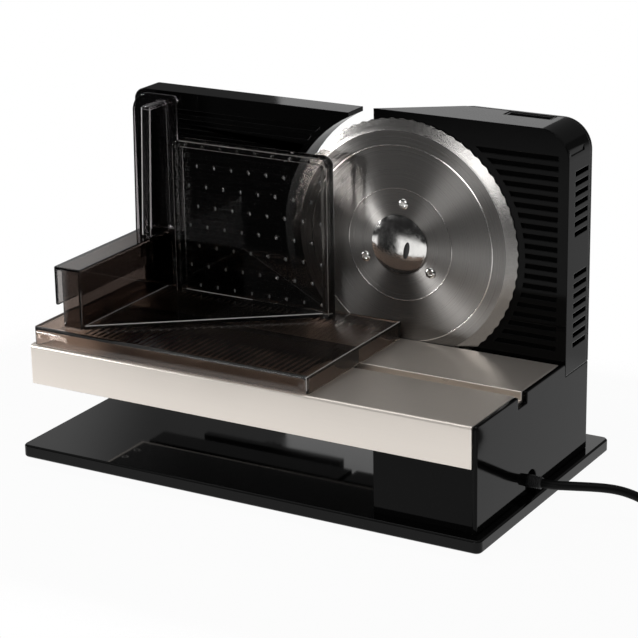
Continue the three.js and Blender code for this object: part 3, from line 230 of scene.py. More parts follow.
# Lamps: four soft boxes, one in front, one low on the left, a long one behind and a wide one above.
# They are weak, because the slicer is mostly black and the backdrop is white by itself.


def soft_lamp(name, place, aim, size, watts):
    """A rectangular soft box at a place, turned to its aim."""
    data = bpy.data.lights.new(name, "AREA")
    data.shape = "RECTANGLE"
    data.size, data.size_y = size
    data.energy = watts
    lamp = bpy.data.objects.new(name, data)
    lamp.location = place
    lamp.rotation_euler = (Vector(aim) - Vector(place)).to_track_quat("-Z", "Y").to_euler()
    scene.collection.objects.link(lamp)


soft_lamp("lamp_front", (0.0, -1.45, 0.36), aim=(0, 0, 0.1), size=(0.5, 0.3), watts=3.2)
soft_lamp("lamp_left", (-0.914, -0.836, 0.126), aim=(0.05, 0.03, 0.14), size=(0.2, 0.2), watts=6.5)
soft_lamp("lamp_back", (-0.2275, 1.2, 0.51), aim=(-0.2275, 0, 0.51), size=(1.055, 0.2), watts=0.66)
soft_lamp("lamp_top", (-0.2, -0.38, 1.3), aim=(-0.2, -0.02, 0.1), size=(1.3, 0.3), watts=3.5)

# Mains cord: a black flexible lead with a smooth vinyl sheath, one length from housing to plug.
# It leaves the sleeve level, bends down to the worktop, and the rest lies wound up beside the slicer.
cord_radius = 0.003
cord_exit = (0.1752, -0.0127, 0.0227)
cord_route = [
    cord_exit,
    (0.1826, -0.0123, 0.0227),
    (0.190, -0.0102, 0.0229),
    (0.198, -0.0074, 0.0230),
    (0.206, -0.0042, 0.0229),
    (0.214, -0.0010, 0.0225),
    (0.221, 0.0017, 0.0216),
    (0.228, 0.0041, 0.0198),
    (0.235, 0.0063, 0.0170),
    (0.242, 0.0082, 0.0136),
    (0.249, 0.0098, 0.0100),
    (0.256, 0.0110, 0.0067),
    (0.262, 0.0116, 0.0046),
    (0.267, 0.0119, 0.0035),
    (0.2707, 0.0120, 0.0031),
    (0.276, 0.0120, 0.0031),
]
coil_centre = (0.282, 0.054)
coil_radius = 0.042
coil_pitch = 0.0068
coil_loops = 2.25
coil_climb = 0.5
coil_floor = 0.0031
coil_steps = 24
cord_tail = 0.0424


def coil_place(turn):
    """A point of the coil: inward on the floor, a half-turn climb, then outward on top."""
    inner = coil_radius - coil_pitch * coil_loops
    past = turn - coil_loops
    climb = min(max(past / coil_climb, 0), 1)
    if past <= 0:
        radius = coil_radius - coil_pitch * turn
    elif past <= coil_climb:
        radius = inner - coil_pitch * past + coil_pitch * past * past / coil_climb
    else:
        radius = inner + coil_pitch * (past - coil_climb)
    angle = -math.pi / 2 + 2 * math.pi * turn
    lift = coil_pitch * climb * climb * (3 - 2 * climb)
    return (
        coil_centre[0] + radius * math.cos(angle),
        coil_centre[1] + radius * math.sin(angle),
        coil_floor + lift,
    )


coil_turns = 2 * coil_loops + coil_climb
for step in range(round(coil_turns * coil_steps) + 1):
    cord_route.append(coil_place(step / coil_steps))
cord_end = cord_route[-1]
for share in (0.25, 0.5, 0.75, 1.0):
    cord_route.append((cord_end[0] + cord_tail * share, cord_end[1], cord_end[2]))

cord_curve = bpy.data.curves.new("cord", "CURVE")
cord_curve.dimensions = "3D"
cord_curve.resolution_u = 4
cord_curve.bevel_depth = cord_radius
cord_curve.bevel_resolution = 5
cord_curve.use_fill_caps = True
cord_line = cord_curve.splines.new("BEZIER")
cord_line.bezier_points.add(len(cord_route) - 1)
for knot, spot in zip(cord_line.bezier_points, cord_route):
    knot.co = spot
    knot.handle_left_type = "AUTO"
    knot.handle_right_type = "AUTO"
cord = bpy.data.objects.new("cord", cord_curve)
scene.collection.objects.link(cord)


def mottle(finish, scale, detail=2.0, harshness=0.5, place=None):
    """Soft irregular patches between 0 and 1."""
    feeds = {"Vector": place or place_on(finish), "Scale": scale, "Detail": detail, "Roughness": harshness}
    return wired(finish, "ShaderNodeTexNoise", feeds)["Fac"]


def tint(finish, pattern, first, second):
    """A colour that a pattern leads from one to another. The first may be led itself."""
    if isinstance(first, tuple):
        first = (*first, 1)
    feeds = {"Factor": pattern, "A": first, "B": (*second, 1)}
    return wired(finish, "ShaderNodeMix", feeds, data_type="RGBA")["Result"]


def lead(finish, socket, pattern):
    """Lets a pattern lead one of the shader's values."""
    tree = finish.node_tree
    tree.links.new(pattern, tree.nodes["Principled BSDF"].inputs[socket])


def colour_by(finish, pattern, first, second):
    """Lets a pattern vary the colour."""
    lead(finish, "Base Color", tint(finish, pattern, first, second))


def rough_by(finish, pattern, low, high, start=0.3, end=0.7):
    """Lets a pattern vary the roughness."""
    lead(finish, "Roughness", spread(finish, pattern, low, high, start, end))


def emboss(finish, pattern, depth, strength=1.0, under=None):
    """A pattern as relief on the surface."""
    feeds = {"Height": pattern, "Distance": depth, "Strength": strength}
    if under:
        feeds["Normal"] = under
    lead(finish, "Normal", wired(finish, "ShaderNodeBump", feeds)["Normal"])


def fitted(piece, body, slot, *solids):
    """Puts a piece on its body, in the place of the solids that it stands for; its slot is not used."""
    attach(piece, body)
    if solids:
        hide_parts(*solids)
    return piece


cord_vinyl = new_finish("cord_vinyl", grey(0.003), 0.45, gloss=0.12)
sheath_marks = mottle(cord_vinyl, 90, 3)
colour_by(cord_vinyl, sheath_marks, grey(0.002), grey(0.004))
rough_by(cord_vinyl, sheath_marks, 0.4, 0.52)
emboss(cord_vinyl, mottle(cord_vinyl, 700, 2), 0.0001, 0.25)
cord_curve.materials.append(cord_vinyl)
fitted(cord, "frame", "cord_rubber", "cord_stretch", "cord_coil")

# Cable tie: a flat black hook-and-loop strap that holds the wound lead together.
# It is one closed band around all the turns on the outer side of the coil.
tie_width = 0.012
tie_thickness = 0.0009
tie_corner = 0.0045
tie_slack = 0.0003
tie_turn = 0.25
tie_inner = coil_radius - coil_pitch * coil_loops - cord_radius - tie_slack
tie_outer = coil_radius - coil_pitch * tie_turn + cord_radius + tie_slack
tie_height = coil_floor + coil_pitch + cord_radius + tie_slack
tie_ground = 0.0002


def as_piece(name, mesh, material, smooth_angle=40):
    """An object from a finished mesh, smooth except at its sharp edges."""
    data = bpy.data.meshes.new(name)
    mesh.to_mesh(data)
    mesh.free()
    data.materials.append(material)
    data.polygons.foreach_set("use_smooth", [True] * len(data.polygons))
    data.set_sharp_from_angle(angle=math.radians(smooth_angle))
    piece = bpy.data.objects.new(name, data)
    scene.collection.objects.link(piece)
    return piece


tie_mesh = bmesh.new()
bmesh.ops.create_cube(tie_mesh, size=1)
tie_span = (tie_outer - tie_inner, tie_width, tie_height - tie_ground)
bmesh.ops.scale(tie_mesh, vec=tie_span, verts=tie_mesh.verts)
tie_ends = [f for f in tie_mesh.faces if abs(f.normal.y) > 0.9]
bmesh.ops.delete(tie_mesh, geom=tie_ends, context="FACES_ONLY")
tie_bends = [e for e in tie_mesh.edges if len(e.link_faces) == 2]
bmesh.ops.bevel(
    tie_mesh, geom=tie_bends, offset=tie_corner, offset_type="OFFSET", affect="EDGES",
    segments=5, profile=0.5, material=-1,
)
bmesh.ops.recalc_face_normals(tie_mesh, faces=tie_mesh.faces)
bmesh.ops.solidify(tie_mesh, geom=tie_mesh.faces, thickness=tie_thickness)
tie_middle = coil_centre[0] + (tie_inner + tie_outer) / 2
bmesh.ops.translate(tie_mesh, verts=tie_mesh.verts, vec=(tie_middle, coil_centre[1], tie_height / 2))
tie_fabric = new_finish("tie_fabric", grey(0.02), 0.9, gloss=0.2)
hooks = mottle(tie_fabric, 2600, 1)
colour_by(tie_fabric, hooks, grey(0.008), (0.04, 0.04, 0.042))
emboss(tie_fabric, hooks, 0.0003, 0.8)
cable_tie = fitted(as_piece("cable_tie", tie_mesh, tie_fabric), "frame", "cord_rubber")

# Strain relief: a tapered black rubber sleeve moulded on the lead and held in the housing wall.
# Grooves around its free end let it bend with the cord.
relief_start = 0.1513
relief_first = 0.1676
relief_end = 0.1753
relief_thick = 0.005
relief_thin = 0.0039
relief_lip = 0.0004
relief_round = 0.0005
relief_grooves = 5
groove_depth = 0.0006
groove_form = ((0.1, 0), (0.3, 0), (0.45, groove_depth), (0.75, groove_depth), (0.9, 0))


def spun(outline, centre, axis, steps, closed=False):
    """A profile of (along, radius) pairs turned about a level axis through a centre."""
    axis = Vector(axis)
    mesh = bmesh.new()
    spots = []
    for along, radius in outline:
        spots.append(mesh.verts.new(Vector(centre) + axis * along + Vector((0, 0, radius))))
    ends = spots[1:] + spots[:1] if closed else spots[1:]
    chain = [mesh.edges.new(pair) for pair in zip(spots, ends)]
    bmesh.ops.spin(
        mesh, geom=spots + chain, cent=centre, axis=axis, dvec=(0, 0, 0), angle=2 * math.pi,
        steps=steps, use_merge=True,
    )
    bmesh.ops.remove_doubles(mesh, verts=mesh.verts, dist=1e-6)
    bmesh.ops.recalc_face_normals(mesh, faces=mesh.faces)
    return mesh


relief_taper = (relief_thin - relief_thick) / (relief_end - relief_start)
relief_pitch = (relief_end - 2 * relief_lip - relief_first) / relief_grooves
relief_outline = [(relief_start, 0), (relief_start, relief_thick)]
for number in range(relief_grooves):
    for share, depth in groove_form:
        along = relief_first + (number + share) * relief_pitch
        relief_outline.append((along, relief_thick + relief_taper * (along - relief_start) - depth))
relief_outline += [
    (relief_end - relief_lip, relief_thin), (relief_end, relief_thin - relief_round), (relief_end, 0),
]
sleeve_rubber = new_finish("sleeve_rubber", grey(0.014), 0.55)
sleeve_bloom = mottle(sleeve_rubber, 260, 3)
colour_by(sleeve_rubber, sleeve_bloom, grey(0.009), (0.026, 0.026, 0.027))
rough_by(sleeve_rubber, sleeve_bloom, 0.48, 0.66)
emboss(sleeve_rubber, mottle(sleeve_rubber, 1500, 2), 0.0001, 0.3)
sleeve_mesh = spun(relief_outline, (0, cord_exit[1], cord_exit[2]), (1, 0, 0), 32)
sleeve = as_piece("strain_relief_sleeve", sleeve_mesh, sleeve_rubber)
fitted(sleeve, "frame", "cord_rubber", "strain_relief")

# Mains plug: a flat black moulded body that narrows to a neck, on the end of the lead.
# Its two round pins are nickel-plated, with a slightly thinner part next to the body.
plug_low, plug_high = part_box("mains_plug")
plug_middle = (plug_low + plug_high) / 2
pin_length = 0.019
pin_offset = 0.0095
pin_radius = 0.002
pin_sleeve = 0.00195
pin_root = -0.001
plug_face = plug_high.x - pin_length
plug_cuts = (0.2, 0.35, 0.5, 0.62)
neck_end = 0.55
neck_width = 0.3
neck_curve = 0.8
neck_height = 0.62
neck_rise = 0.7


def broken_edges(mesh, width, segments=2, angle=30):
    """Rounds the sharp edges, as a mould or a file does."""
    sharp = [e for e in mesh.edges if e.is_manifold and e.calc_face_angle(0) > math.radians(angle)]
    bmesh.ops.bevel(
        mesh, geom=sharp, offset=width, offset_type="OFFSET", affect="EDGES",
        segments=segments, profile=0.5, material=-1, clamp_overlap=True,
    )


def sliced(mesh, point, direction):
    """Cuts every face of a mesh along a plane, to give it points there."""
    everything = mesh.verts[:] + mesh.edges[:] + mesh.faces[:]
    bmesh.ops.bisect_plane(mesh, geom=everything, plane_co=point, plane_no=direction, dist=1e-7)


plug_mesh = bmesh.new()
bmesh.ops.create_cube(plug_mesh, size=1)
plug_size = (plug_face - plug_low.x, plug_high.y - plug_low.y, plug_high.z - plug_low.z)
plug_centre = ((plug_low.x + plug_face) / 2, plug_middle.y, plug_middle.z)
bmesh.ops.scale(plug_mesh, vec=plug_size, verts=plug_mesh.verts)
bmesh.ops.translate(plug_mesh, verts=plug_mesh.verts, vec=plug_centre)
for share in plug_cuts:
    sliced(plug_mesh, (plug_low.x + plug_size[0] * share, 0, 0), (1, 0, 0))
for vert in plug_mesh.verts:
    along = (vert.co.x - plug_low.x) / plug_size[0]
    narrow = neck_width + (1 - neck_width) * min(along / neck_end, 1) ** neck_curve
    vert.co.y = plug_middle.y + (vert.co.y - plug_middle.y) * narrow
    vert.co.z = plug_middle.z + (vert.co.z - plug_middle.z) * min(1, neck_height + neck_rise * along)
broken_edges(plug_mesh, 0.003, segments=4, angle=40)
plug_vinyl = new_finish("plug_vinyl", grey(0.013), 0.42)
plug_grain = mottle(plug_vinyl, 1400, 2)
colour_by(plug_vinyl, mottle(plug_vinyl, 70, 3), grey(0.009), grey(0.02))
rough_by(plug_vinyl, plug_grain, 0.36, 0.5)
emboss(plug_vinyl, plug_grain, 0.0001, 0.35)
plug_body = fitted(as_piece("plug_body", plug_mesh, plug_vinyl), "frame", "cord_rubber", "mains_plug")

pin_nickel = new_finish("pin_nickel", (0.66, 0.63, 0.58), 0.22, 1.0)
rough_by(pin_nickel, mottle(pin_nickel, 600, 3), 0.16, 0.32)
pin_outline = [
    (pin_root, 0),
    (pin_root, pin_sleeve),
    (0.0100, pin_sleeve),
    (0.0102, pin_radius),
    (0.0178, pin_radius),
    (0.0187, 0.0013),
    (pin_length, 0),
]
for hand, side in (("left", -1), ("right", 1)):
    pin_centre = (plug_face, plug_middle.y + side * pin_offset, plug_middle.z)
    pin = as_piece(f"plug_pin_{hand}", spun(pin_outline, pin_centre, (1, 0, 0), 20), pin_nickel)
    fitted(pin, "frame", "plain_steel")

# Base plate: a slab of polished black glass that the whole slicer stands on.
# Its edges are ground smooth, and it carries a little dust and a few wiping marks.
groove_floor = (0.0004, 0.0012)


def copied(node):
    """A merged copy of a solid's surface with its flat faces in one piece each."""
    mesh = bmesh.new()
    mesh.from_mesh(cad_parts[node].data)
    bmesh.ops.remove_doubles(mesh, verts=mesh.verts, dist=2e-6)
    bmesh.ops.dissolve_limit(mesh, angle_limit=math.radians(0.5), verts=mesh.verts, edges=mesh.edges)
    return mesh


def flatten_shading(piece):
    """Keeps wide faces flat in shading next to their rounded edges."""
    fair = piece.modifiers.new("fair_faces", "WEIGHTED_NORMAL")
    fair.keep_sharp = True


def dressed(node, body, slot, material, width, segments=2, angle=30, rear=None, groove_shade=None):
    """A copy of a solid with broken edges and its finish, in the solid's place on its body.

    The back may have a finish of its own, and the floors of grooves in the front a painted shade.
    """
    mesh = copied(node)
    broken_edges(mesh, width, segments, angle)
    piece = as_piece(f"{node}_finished", mesh, material)
    if rear:
        front_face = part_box(node)[0].y
        piece.data.materials.append(rear)
        piece.data.materials.append(groove_shade or material)
        for face in piece.data.polygons:
            depth = face.center.y - front_face
            # Faces on the floors of the front's grooves take the painted shade.
            in_groove = face.normal.y < -0.9 and groove_floor[0] < depth < groove_floor[1]
            face.material_index = 1 if face.normal.y > 0.3 else 2 if in_groove else 0
    flatten_shading(piece)
    return fitted(piece, body, slot, node)


def stretch(finish, scale, centre=(0, 0, 0)):
    """A piece's coordinates measured from a centre and stretched, for a pattern with a direction."""
    feeds = {"Vector": place_on(finish), "Scale": scale}
    feeds["Location"] = [-c * s for c, s in zip(centre, scale)]
    return wired(finish, "ShaderNodeMapping", feeds)["Vector"]


black_glass = new_finish("black_glass", grey(0.002), 0.04, gloss=0.15)
wiping = mottle(black_glass, 1.0, 4, 0.6, stretch(black_glass, (6, 22, 6)))
dust = spread(black_glass, mottle(black_glass, 1900, 1), 0, 1, 0.74, 0.86)
colour_by(black_glass, dust, grey(0.002), grey(0.05))
rough_by(black_glass, wiping, 0.025, 0.075)
dressed("base_plate", "frame", "black_glass", black_glass, 0.0007, segments=3)

# Feet: four moulded rubber buttons glued under the corners of the glass.
# They are matt black and slightly tapered, with a fine moulded grain.
foot_rubber = new_finish("foot_rubber", grey(0.018), 0.8, gloss=0.3)
foot_grain = mottle(foot_rubber, 900, 3)
colour_by(foot_rubber, foot_grain, grey(0.012), (0.032, 0.032, 0.031))
emboss(foot_rubber, foot_grain, 0.0002, 0.4)
for corner in ("front_left", "front_right", "rear_left", "rear_right"):
    dressed(f"foot_{corner}", "frame", "foot_rubber", foot_rubber, 0.0008, segments=3, angle=50)

# Base screws: zinc-plated pan heads that hold the glass to the lower housing from below.
# Each head has a star-shaped drive recess pressed into it.
recess_rim = 0.42
star_shares = (0.62, 0.92)
screw_steel = new_finish("screw_steel", (0.5, 0.49, 0.47), 0.35, 1.0)
plating = mottle(screw_steel, 500, 3)
colour_by(screw_steel, plating, (0.42, 0.41, 0.39), (0.6, 0.59, 0.57))
rough_by(screw_steel, plating, 0.26, 0.45)


def driven_screw(node, body, slot, material, facing, depth, width=0.0004):
    """A screw's copy with a rounded head and a star recess in the face that points along facing."""
    facing = Vector(facing)
    mesh = copied(node)
    broken_edges(mesh, width, segments=3, angle=50)
    end = max(vert.co.dot(facing) for vert in mesh.verts)
    head_faces = [
        f for f in mesh.faces
        if f.normal.dot(facing) > 0.95 and f.calc_center_median().dot(facing) > end - 1e-4
    ]
    face = max(head_faces, key=lambda f: f.calc_area())
    centre = face.calc_center_median()
    reach = max((vert.co - centre).length for vert in face.verts)
    bmesh.ops.inset_region(mesh, faces=[face], thickness=reach * recess_rim, use_even_offset=True)
    star = bmesh.ops.extrude_discrete_faces(mesh, faces=[face])["faces"][0]
    for number, vert in enumerate(star.verts):
        vert.co = centre + (vert.co - centre) * star_shares[number % 2] - facing * depth
    piece = as_piece(f"{node}_finished", mesh, material)
    flatten_shading(piece)
    fitted(piece, body, slot, node)


for number in range(1, 5):
    driven_screw(f"base_screw_{number}", "frame", "plain_steel", screw_steel, (0, 0, -1), 0.0014)

# Lower housing and side panel: injection-moulded gloss black plastic, clipped and screwed together.
# The panel covers the right side, with an arch for the cord and a notch for the guide groove.
# Backs that nobody sees in use come out of the mould satin. The floors of grooves get painted shade: a
# darker black, matt and almost without reflection, for the shadow inside them.


def eased(finish, radius):
    """The surface's direction, rounded off next to sharp edges."""
    return wired(finish, "ShaderNodeBevel", {"Radius": radius}, samples=6)["Normal"]


def gloss_plastic(name, low, high, peel, gloss=0.08):
    """Polished black plastic with faint moulding waves and a few soft smears."""
    finish = new_finish(name, grey(0.002), low, gloss=gloss)
    colour_by(finish, mottle(finish, 9, 2), grey(0.0015), grey(0.003))
    rough_by(finish, mottle(finish, 26, 4, 0.6), low, high)
    emboss(finish, mottle(finish, 55, 1), 0.0004, peel, eased(finish, 0.0008))
    return finish


gloss_black = gloss_plastic("gloss_black", 0.05, 0.1, 0.03)
satin_black = gloss_plastic("satin_black", 0.2, 0.3, 0.05, gloss=0.5)
# Painted shade for the floors of grooves: darker than the housing and almost unreflecting, standing in for
# their shadow.
groove_shade_black = new_finish("groove_shade_black", grey(0.001), 0.6, gloss=0.01)
rough_by(groove_shade_black, mottle(groove_shade_black, 800, 2), 0.5, 0.7)
dressed("lower_housing", "frame", "gloss_black", gloss_black, 0.0006, rear=satin_black)
dressed("side_panel", "frame", "gloss_black", gloss_black, 0.0008, segments=3)

# Table: stainless sheet folded into a shallow box, with the guide groove pressed into its top.
# It is brushed lengthwise to a fine satin, duller on top, and its folds are slightly rounded.
# Its rear edge leaves a little room for the dish of the blade, which turns close behind it.
table_rear = 0.0338
blade_room = 0.0008
table_steel = new_finish("table_steel", (0.85, 0.785, 0.72), 0.3, 0.85)
brushing = mottle(table_steel, 1.0, 3, 0.6, stretch(table_steel, (14, 2600, 2600)))
colour_by(table_steel, brushing, (0.83, 0.767, 0.7), (0.87, 0.803, 0.735))
table_normal = wired(table_steel, "ShaderNodeNewGeometry", {})["Normal"]
facing_up = wired(table_steel, "ShaderNodeSeparateXYZ", {"Vector": table_normal})["Z"]
handling = spread(table_steel, mottle(table_steel, 14, 3), 0.27, 0.3)
duller_top = spread(table_steel, facing_up, 0, 0.12)
lead(table_steel, "Roughness", joined(table_steel, "ADD", handling, duller_top))
emboss(table_steel, brushing, 0.0001, 0.02)
table = dressed("table_top", "frame", "table_metal", table_steel, 0.0009, segments=4)
for vert in table.data.vertices:
    if vert.co.y > table_rear:
        vert.co.y -= blade_room

# Table underside: a black plastic plate that closes the table and carries the guide rods.
# It is moulded with a fine grain and held from below by two small screws.
inner_plastic = new_finish("inner_plastic", (0.02, 0.02, 0.021), 0.5)
inner_grain = mottle(inner_plastic, 1200, 2)
colour_by(inner_plastic, mottle(inner_plastic, 40, 3), (0.015, 0.015, 0.016), (0.028, 0.028, 0.029))
rough_by(inner_plastic, inner_grain, 0.42, 0.6)
emboss(inner_plastic, inner_grain, 0.0001, 0.2)
dressed("table_plate", "frame", "inner_plastic", inner_plastic, 0.0004)
for number in range(1, 3):
    driven_screw(f"table_screw_{number}", "frame", "plain_steel", screw_steel, (0, 0, -1), 0.0008, 0.0002)

# Upright housing: two gloss black mouldings that hold the motor, the gear and the blade.
# The front has ribs across it, the right side has vents, and the rear lid is held by four screws.
dressed("housing_front", "frame", "gloss_black", gloss_black, 0.0003, rear=satin_black, groove_shade=groove_shade_black)
dressed("housing_rear", "frame", "gloss_black", gloss_black, 0.0008, segments=3, rear=satin_black)
for number in range(1, 5):
    driven_screw(f"cover_screw_{number}", "frame", "plain_steel", screw_steel, (0, 1, 0), 0.0012)

# Switch: a black rocker on a pin in a shallow cup sunk into the housing's top.
# Both are moulded plastic with a fine grain, less shiny than the housing.
switch_plastic = new_finish("switch_plastic", (0.012, 0.012, 0.013), 0.3)
switch_grain = mottle(switch_plastic, 1500, 2)
colour_by(switch_plastic, mottle(switch_plastic, 120, 2), (0.009, 0.009, 0.01), (0.017, 0.017, 0.018))
rough_by(switch_plastic, switch_grain, 0.24, 0.4)
emboss(switch_plastic, switch_grain, 0.0001, 0.15)
dressed("switch_frame", "frame", "inner_plastic", switch_plastic, 0.0003)
dressed("switch_rocker", "rocker", "gloss_black", switch_plastic, 0.0005, segments=3)

# Blade: a dished stainless disc, turned on a lathe, with a wavy edge that is ground on the front.
# The turning leaves fine circular marks, so that lamps draw bright streaks across it.
# Two thin polished rings stand on it, one around the hub and one near the ground edge.
blade_centre = Vector((0.0483, 0, 0.152))
blade_axis = (0, 1, 0)
blade_low, blade_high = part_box("blade")
blade_radius = (blade_high.x - blade_low.x) / 2
blade_edge = blade_high.y - 0.0001
blade_back = blade_edge + 0.0001
blade_hub = blade_low.y
blade_sheet = 0.0014
blade_hole = 0.005
blade_teeth = 70
tooth_depth = 0.0008
tooth_steps = 8
bead_radius = 0.0385
bead_height = 0.0001
mark_radius = 0.067
mark_depth = 0.00011
grind_radius = blade_radius - 0.008
grind_drop = 0.0022
grind_slope = grind_drop / (blade_radius - grind_radius)


def cone_place(radius, set_back=0.0):
    """The blade's face at a radius: a shallow cone from the hub's bead to the ground edge."""
    share = max((radius - bead_radius) / (grind_radius - bead_radius), 0)
    return blade_hub + set_back + (blade_edge - blade_hub - grind_drop) * share


def cone_run(radii, set_back=0.0):
    """Points of the blade's profile at some radii."""
    return [(cone_place(radius, set_back), radius) for radius in radii]


blade_outline = cone_run((blade_hole, 0.0376, 0.0381))
blade_outline += [(blade_hub - bead_height, bead_radius + side * 0.0001) for side in (-1, 1)]
blade_outline += cone_run((0.0389, 0.0394, 0.05, 0.066, 0.0665))
blade_outline += [(cone_place(mark_radius) + mark_depth, mark_radius)]
blade_outline += cone_run((0.0675, 0.068, 0.0764, grind_radius))
blade_outline += [(blade_back, grind_radius)]
blade_outline += cone_run((0.066, 0.05, bead_radius, blade_hole), blade_sheet)
edge_outline = [
    (blade_edge - grind_drop, grind_radius),
    (blade_edge - grind_drop * 0.98, grind_radius + 0.0003),
    (blade_edge - grind_drop * 0.64, grind_radius + 0.003),
    (blade_edge - grind_drop * 0.33, grind_radius + 0.0055),
    (blade_edge - 0.0001, blade_radius),
    (blade_back, blade_radius),
    (blade_back, grind_radius),
]
blade_steel = new_finish("blade_steel", (0.2, 0.193, 0.185), 0.3, 1.0)
blade_shader = blade_steel.node_tree.nodes["Principled BSDF"]
blade_shader.inputs["Anisotropic"].default_value = 0.95
blade_shader.inputs["Anisotropic Rotation"].default_value = 0.25
grain = wired(blade_steel, "ShaderNodeTangent", {}, direction_type="RADIAL", axis="Y")["Tangent"]
lead(blade_steel, "Tangent", grain)
radius_out = from_place(blade_steel, "LENGTH", stretch(blade_steel, (1, 0, 1), blade_centre))
turning = {"W": radius_out, "Scale": 2600, "Detail": 4}
turning_marks = wired(blade_steel, "ShaderNodeTexNoise", turning, noise_dimensions="1D")["Fac"]
turned_tone = spread(blade_steel, turning_marks, 0, 1)
colour_by(blade_steel, turned_tone, (0.17, 0.164, 0.157), (0.23, 0.222, 0.213))
rough_by(blade_steel, turned_tone, 0.27, 0.33, 0, 1)
blade_mesh = spun(blade_outline, blade_centre, blade_axis, 280, closed=True)
blade_pieces = [as_piece("blade_disc", blade_mesh, blade_steel, 30)]

ground_steel = new_finish("ground_steel", (0.27, 0.26, 0.25), 0.2, 1.0)
grinding = mottle(ground_steel, 1600, 2, 0.6)
colour_by(ground_steel, grinding, (0.2, 0.193, 0.185), (0.36, 0.35, 0.34))
rough_by(ground_steel, grinding, 0.16, 0.26)
emboss(ground_steel, grinding, 0.0002, 0.3)
edge_mesh = spun(edge_outline, blade_centre, blade_axis, blade_teeth * tooth_steps, closed=True)
for vert in edge_mesh.verts:
    out = Vector((vert.co.x - blade_centre.x, 0, vert.co.z - blade_centre.z))
    share = min(max((out.length - grind_radius) / (blade_radius - grind_radius), 0), 1)
    hollow = 0.5 + 0.5 * math.cos(math.atan2(out.z, out.x) * blade_teeth)
    bite = tooth_depth * hollow * share * share
    vert.co -= out.normalized() * bite
    if vert.co.y < blade_edge:
        vert.co.y -= bite * grind_slope
blade_pieces.append(as_piece("blade_edge", edge_mesh, ground_steel, 30))

ring_steel = new_finish("ring_steel", (0.5, 0.485, 0.47), 0.16, 1.0)
rough_by(ring_steel, mottle(ring_steel, 400, 2), 0.12, 0.2)
for name, radius, outer in (("bead", bead_radius, 0.0005), ("mark", mark_radius, 0.0011)):
    face = cone_place(radius)
    ring_outline = [
        (face + 0.0002, radius - 0.0004),
        (face - 0.0002, radius - 0.0001),
        (face - 0.0002, radius + 0.0001),
        (face + 0.0002, radius + outer),
    ]
    ring_mesh = spun(ring_outline, blade_centre, blade_axis, 200, closed=True)
    blade_pieces.append(as_piece(f"blade_{name}", ring_mesh, ring_steel, 80))
for piece in blade_pieces:
    fitted(piece, "cutter", "blade_steel", "blade")

# Blade carrier and its screws: a plastic disc behind the blade, held by three domed chrome screws.
# Each screw is turned and polished, with a round recess in its head.
bright_chrome = new_finish("bright_chrome", (0.7, 0.69, 0.67), 0.08, 1.0)
colour_by(bright_chrome, mottle(bright_chrome, 60, 2), (0.66, 0.65, 0.63), (0.74, 0.73, 0.71))
rough_by(bright_chrome, mottle(bright_chrome, 300, 3), 0.05, 0.13)
head_form = (
    (0.0006, 0), (0.0006, 0.3), (0.0001, 0.36), (0, 0.45), (0.00015, 0.75), (0.0005, 0.95), (0.0008, 1),
    (0.001, 1),
)
shank_radius = 0.0018
dressed("blade_carrier", "cutter", "inner_plastic", inner_plastic, 0.0004)
for number in range(1, 4):
    node = f"blade_screw_{number}"
    screw_low, screw_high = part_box(node)
    screw_middle = (screw_low + screw_high) / 2
    head_radius = (screw_high.x - screw_low.x) / 2
    head_face = screw_low.y
    screw_outline = [(head_face + depth, head_radius * share) for depth, share in head_form]
    screw_outline += [
        (head_face + 0.001, shank_radius), (screw_high.y, shank_radius), (screw_high.y, 0),
    ]
    screw_mesh = spun(screw_outline, (screw_middle.x, 0, screw_middle.z), blade_axis, 40)
    screw = as_piece(f"{node}_finished", screw_mesh, bright_chrome)
    fitted(screw, "cutter", "bright_chrome", node)

# Blade lock: a polished cap with a leaf-shaped slot, turned a quarter to free the blade.
# It is a low dome of plated metal on a stem that reaches through the blade.
lock_low, lock_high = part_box("blade_lock")
lock_radius = (lock_high.x - lock_low.x) / 2
lock_face = lock_low.y
lock_height = 0.002
lock_stem = 0.0045
stem_round = 0.0005
stem_start = lock_face + lock_height - 0.0002
slot_middle = (0.006, -0.003)
slot_half = (0.0021, 0.006)
slot_tilt = math.radians(-12)
slot_depth = 0.0012
pad_lift = slot_depth * 0.15
pad_thickness = 0.0001
lock_steps = 96
dome_rings = 10
dome_height = lock_height * 0.62
dome_bend = 0.86


def dome_place(x, z):
    """The height of the cap's dome at a place measured from its middle."""
    share = min(math.hypot(x, z) / lock_radius, 1)
    drop = 1 - math.sqrt(1 - dome_bend * share * share)
    return lock_face + dome_height * drop / (1 - math.sqrt(1 - dome_bend))


def walled(mesh, row):
    """Draws a wall out of a closed row of points, and gives the points of its free end."""
    rim = [mesh.edges.get((row[step], row[step - 1])) for step in range(len(row))]
    wall = bmesh.ops.extrude_edge_only(mesh, edges=rim)["geom"]
    return [item for item in wall if isinstance(item, bmesh.types.BMVert)]


lock_mesh = bmesh.new()
rings = []
for ring in range(dome_rings + 1):
    share = ring / dome_rings
    row = []
    for step in range(lock_steps):
        angle = 2 * math.pi * step / lock_steps
        leaf_x = slot_half[0] * math.cos(angle)
        leaf_z = slot_half[1] * math.sin(angle)
        near_x = slot_middle[0] + leaf_x * math.cos(slot_tilt) - leaf_z * math.sin(slot_tilt)
        near_z = slot_middle[1] + leaf_x * math.sin(slot_tilt) + leaf_z * math.cos(slot_tilt)
        x = near_x + (lock_radius * math.cos(angle) - near_x) * share
        z = near_z + (lock_radius * math.sin(angle) - near_z) * share
        row.append(lock_mesh.verts.new((blade_centre.x + x, dome_place(x, z), blade_centre.z + z)))
    rings.append(row)
for low_ring, high_ring in zip(rings, rings[1:]):
    for step in range(lock_steps):
        after = (step + 1) % lock_steps
        lock_mesh.faces.new((low_ring[step], low_ring[after], high_ring[after], high_ring[step]))
slot_floor = walled(lock_mesh, rings[0])
bmesh.ops.translate(lock_mesh, verts=slot_floor, vec=(0, slot_depth, 0))
bmesh.ops.contextual_create(lock_mesh, geom=slot_floor)
pad_mesh = bmesh.new()
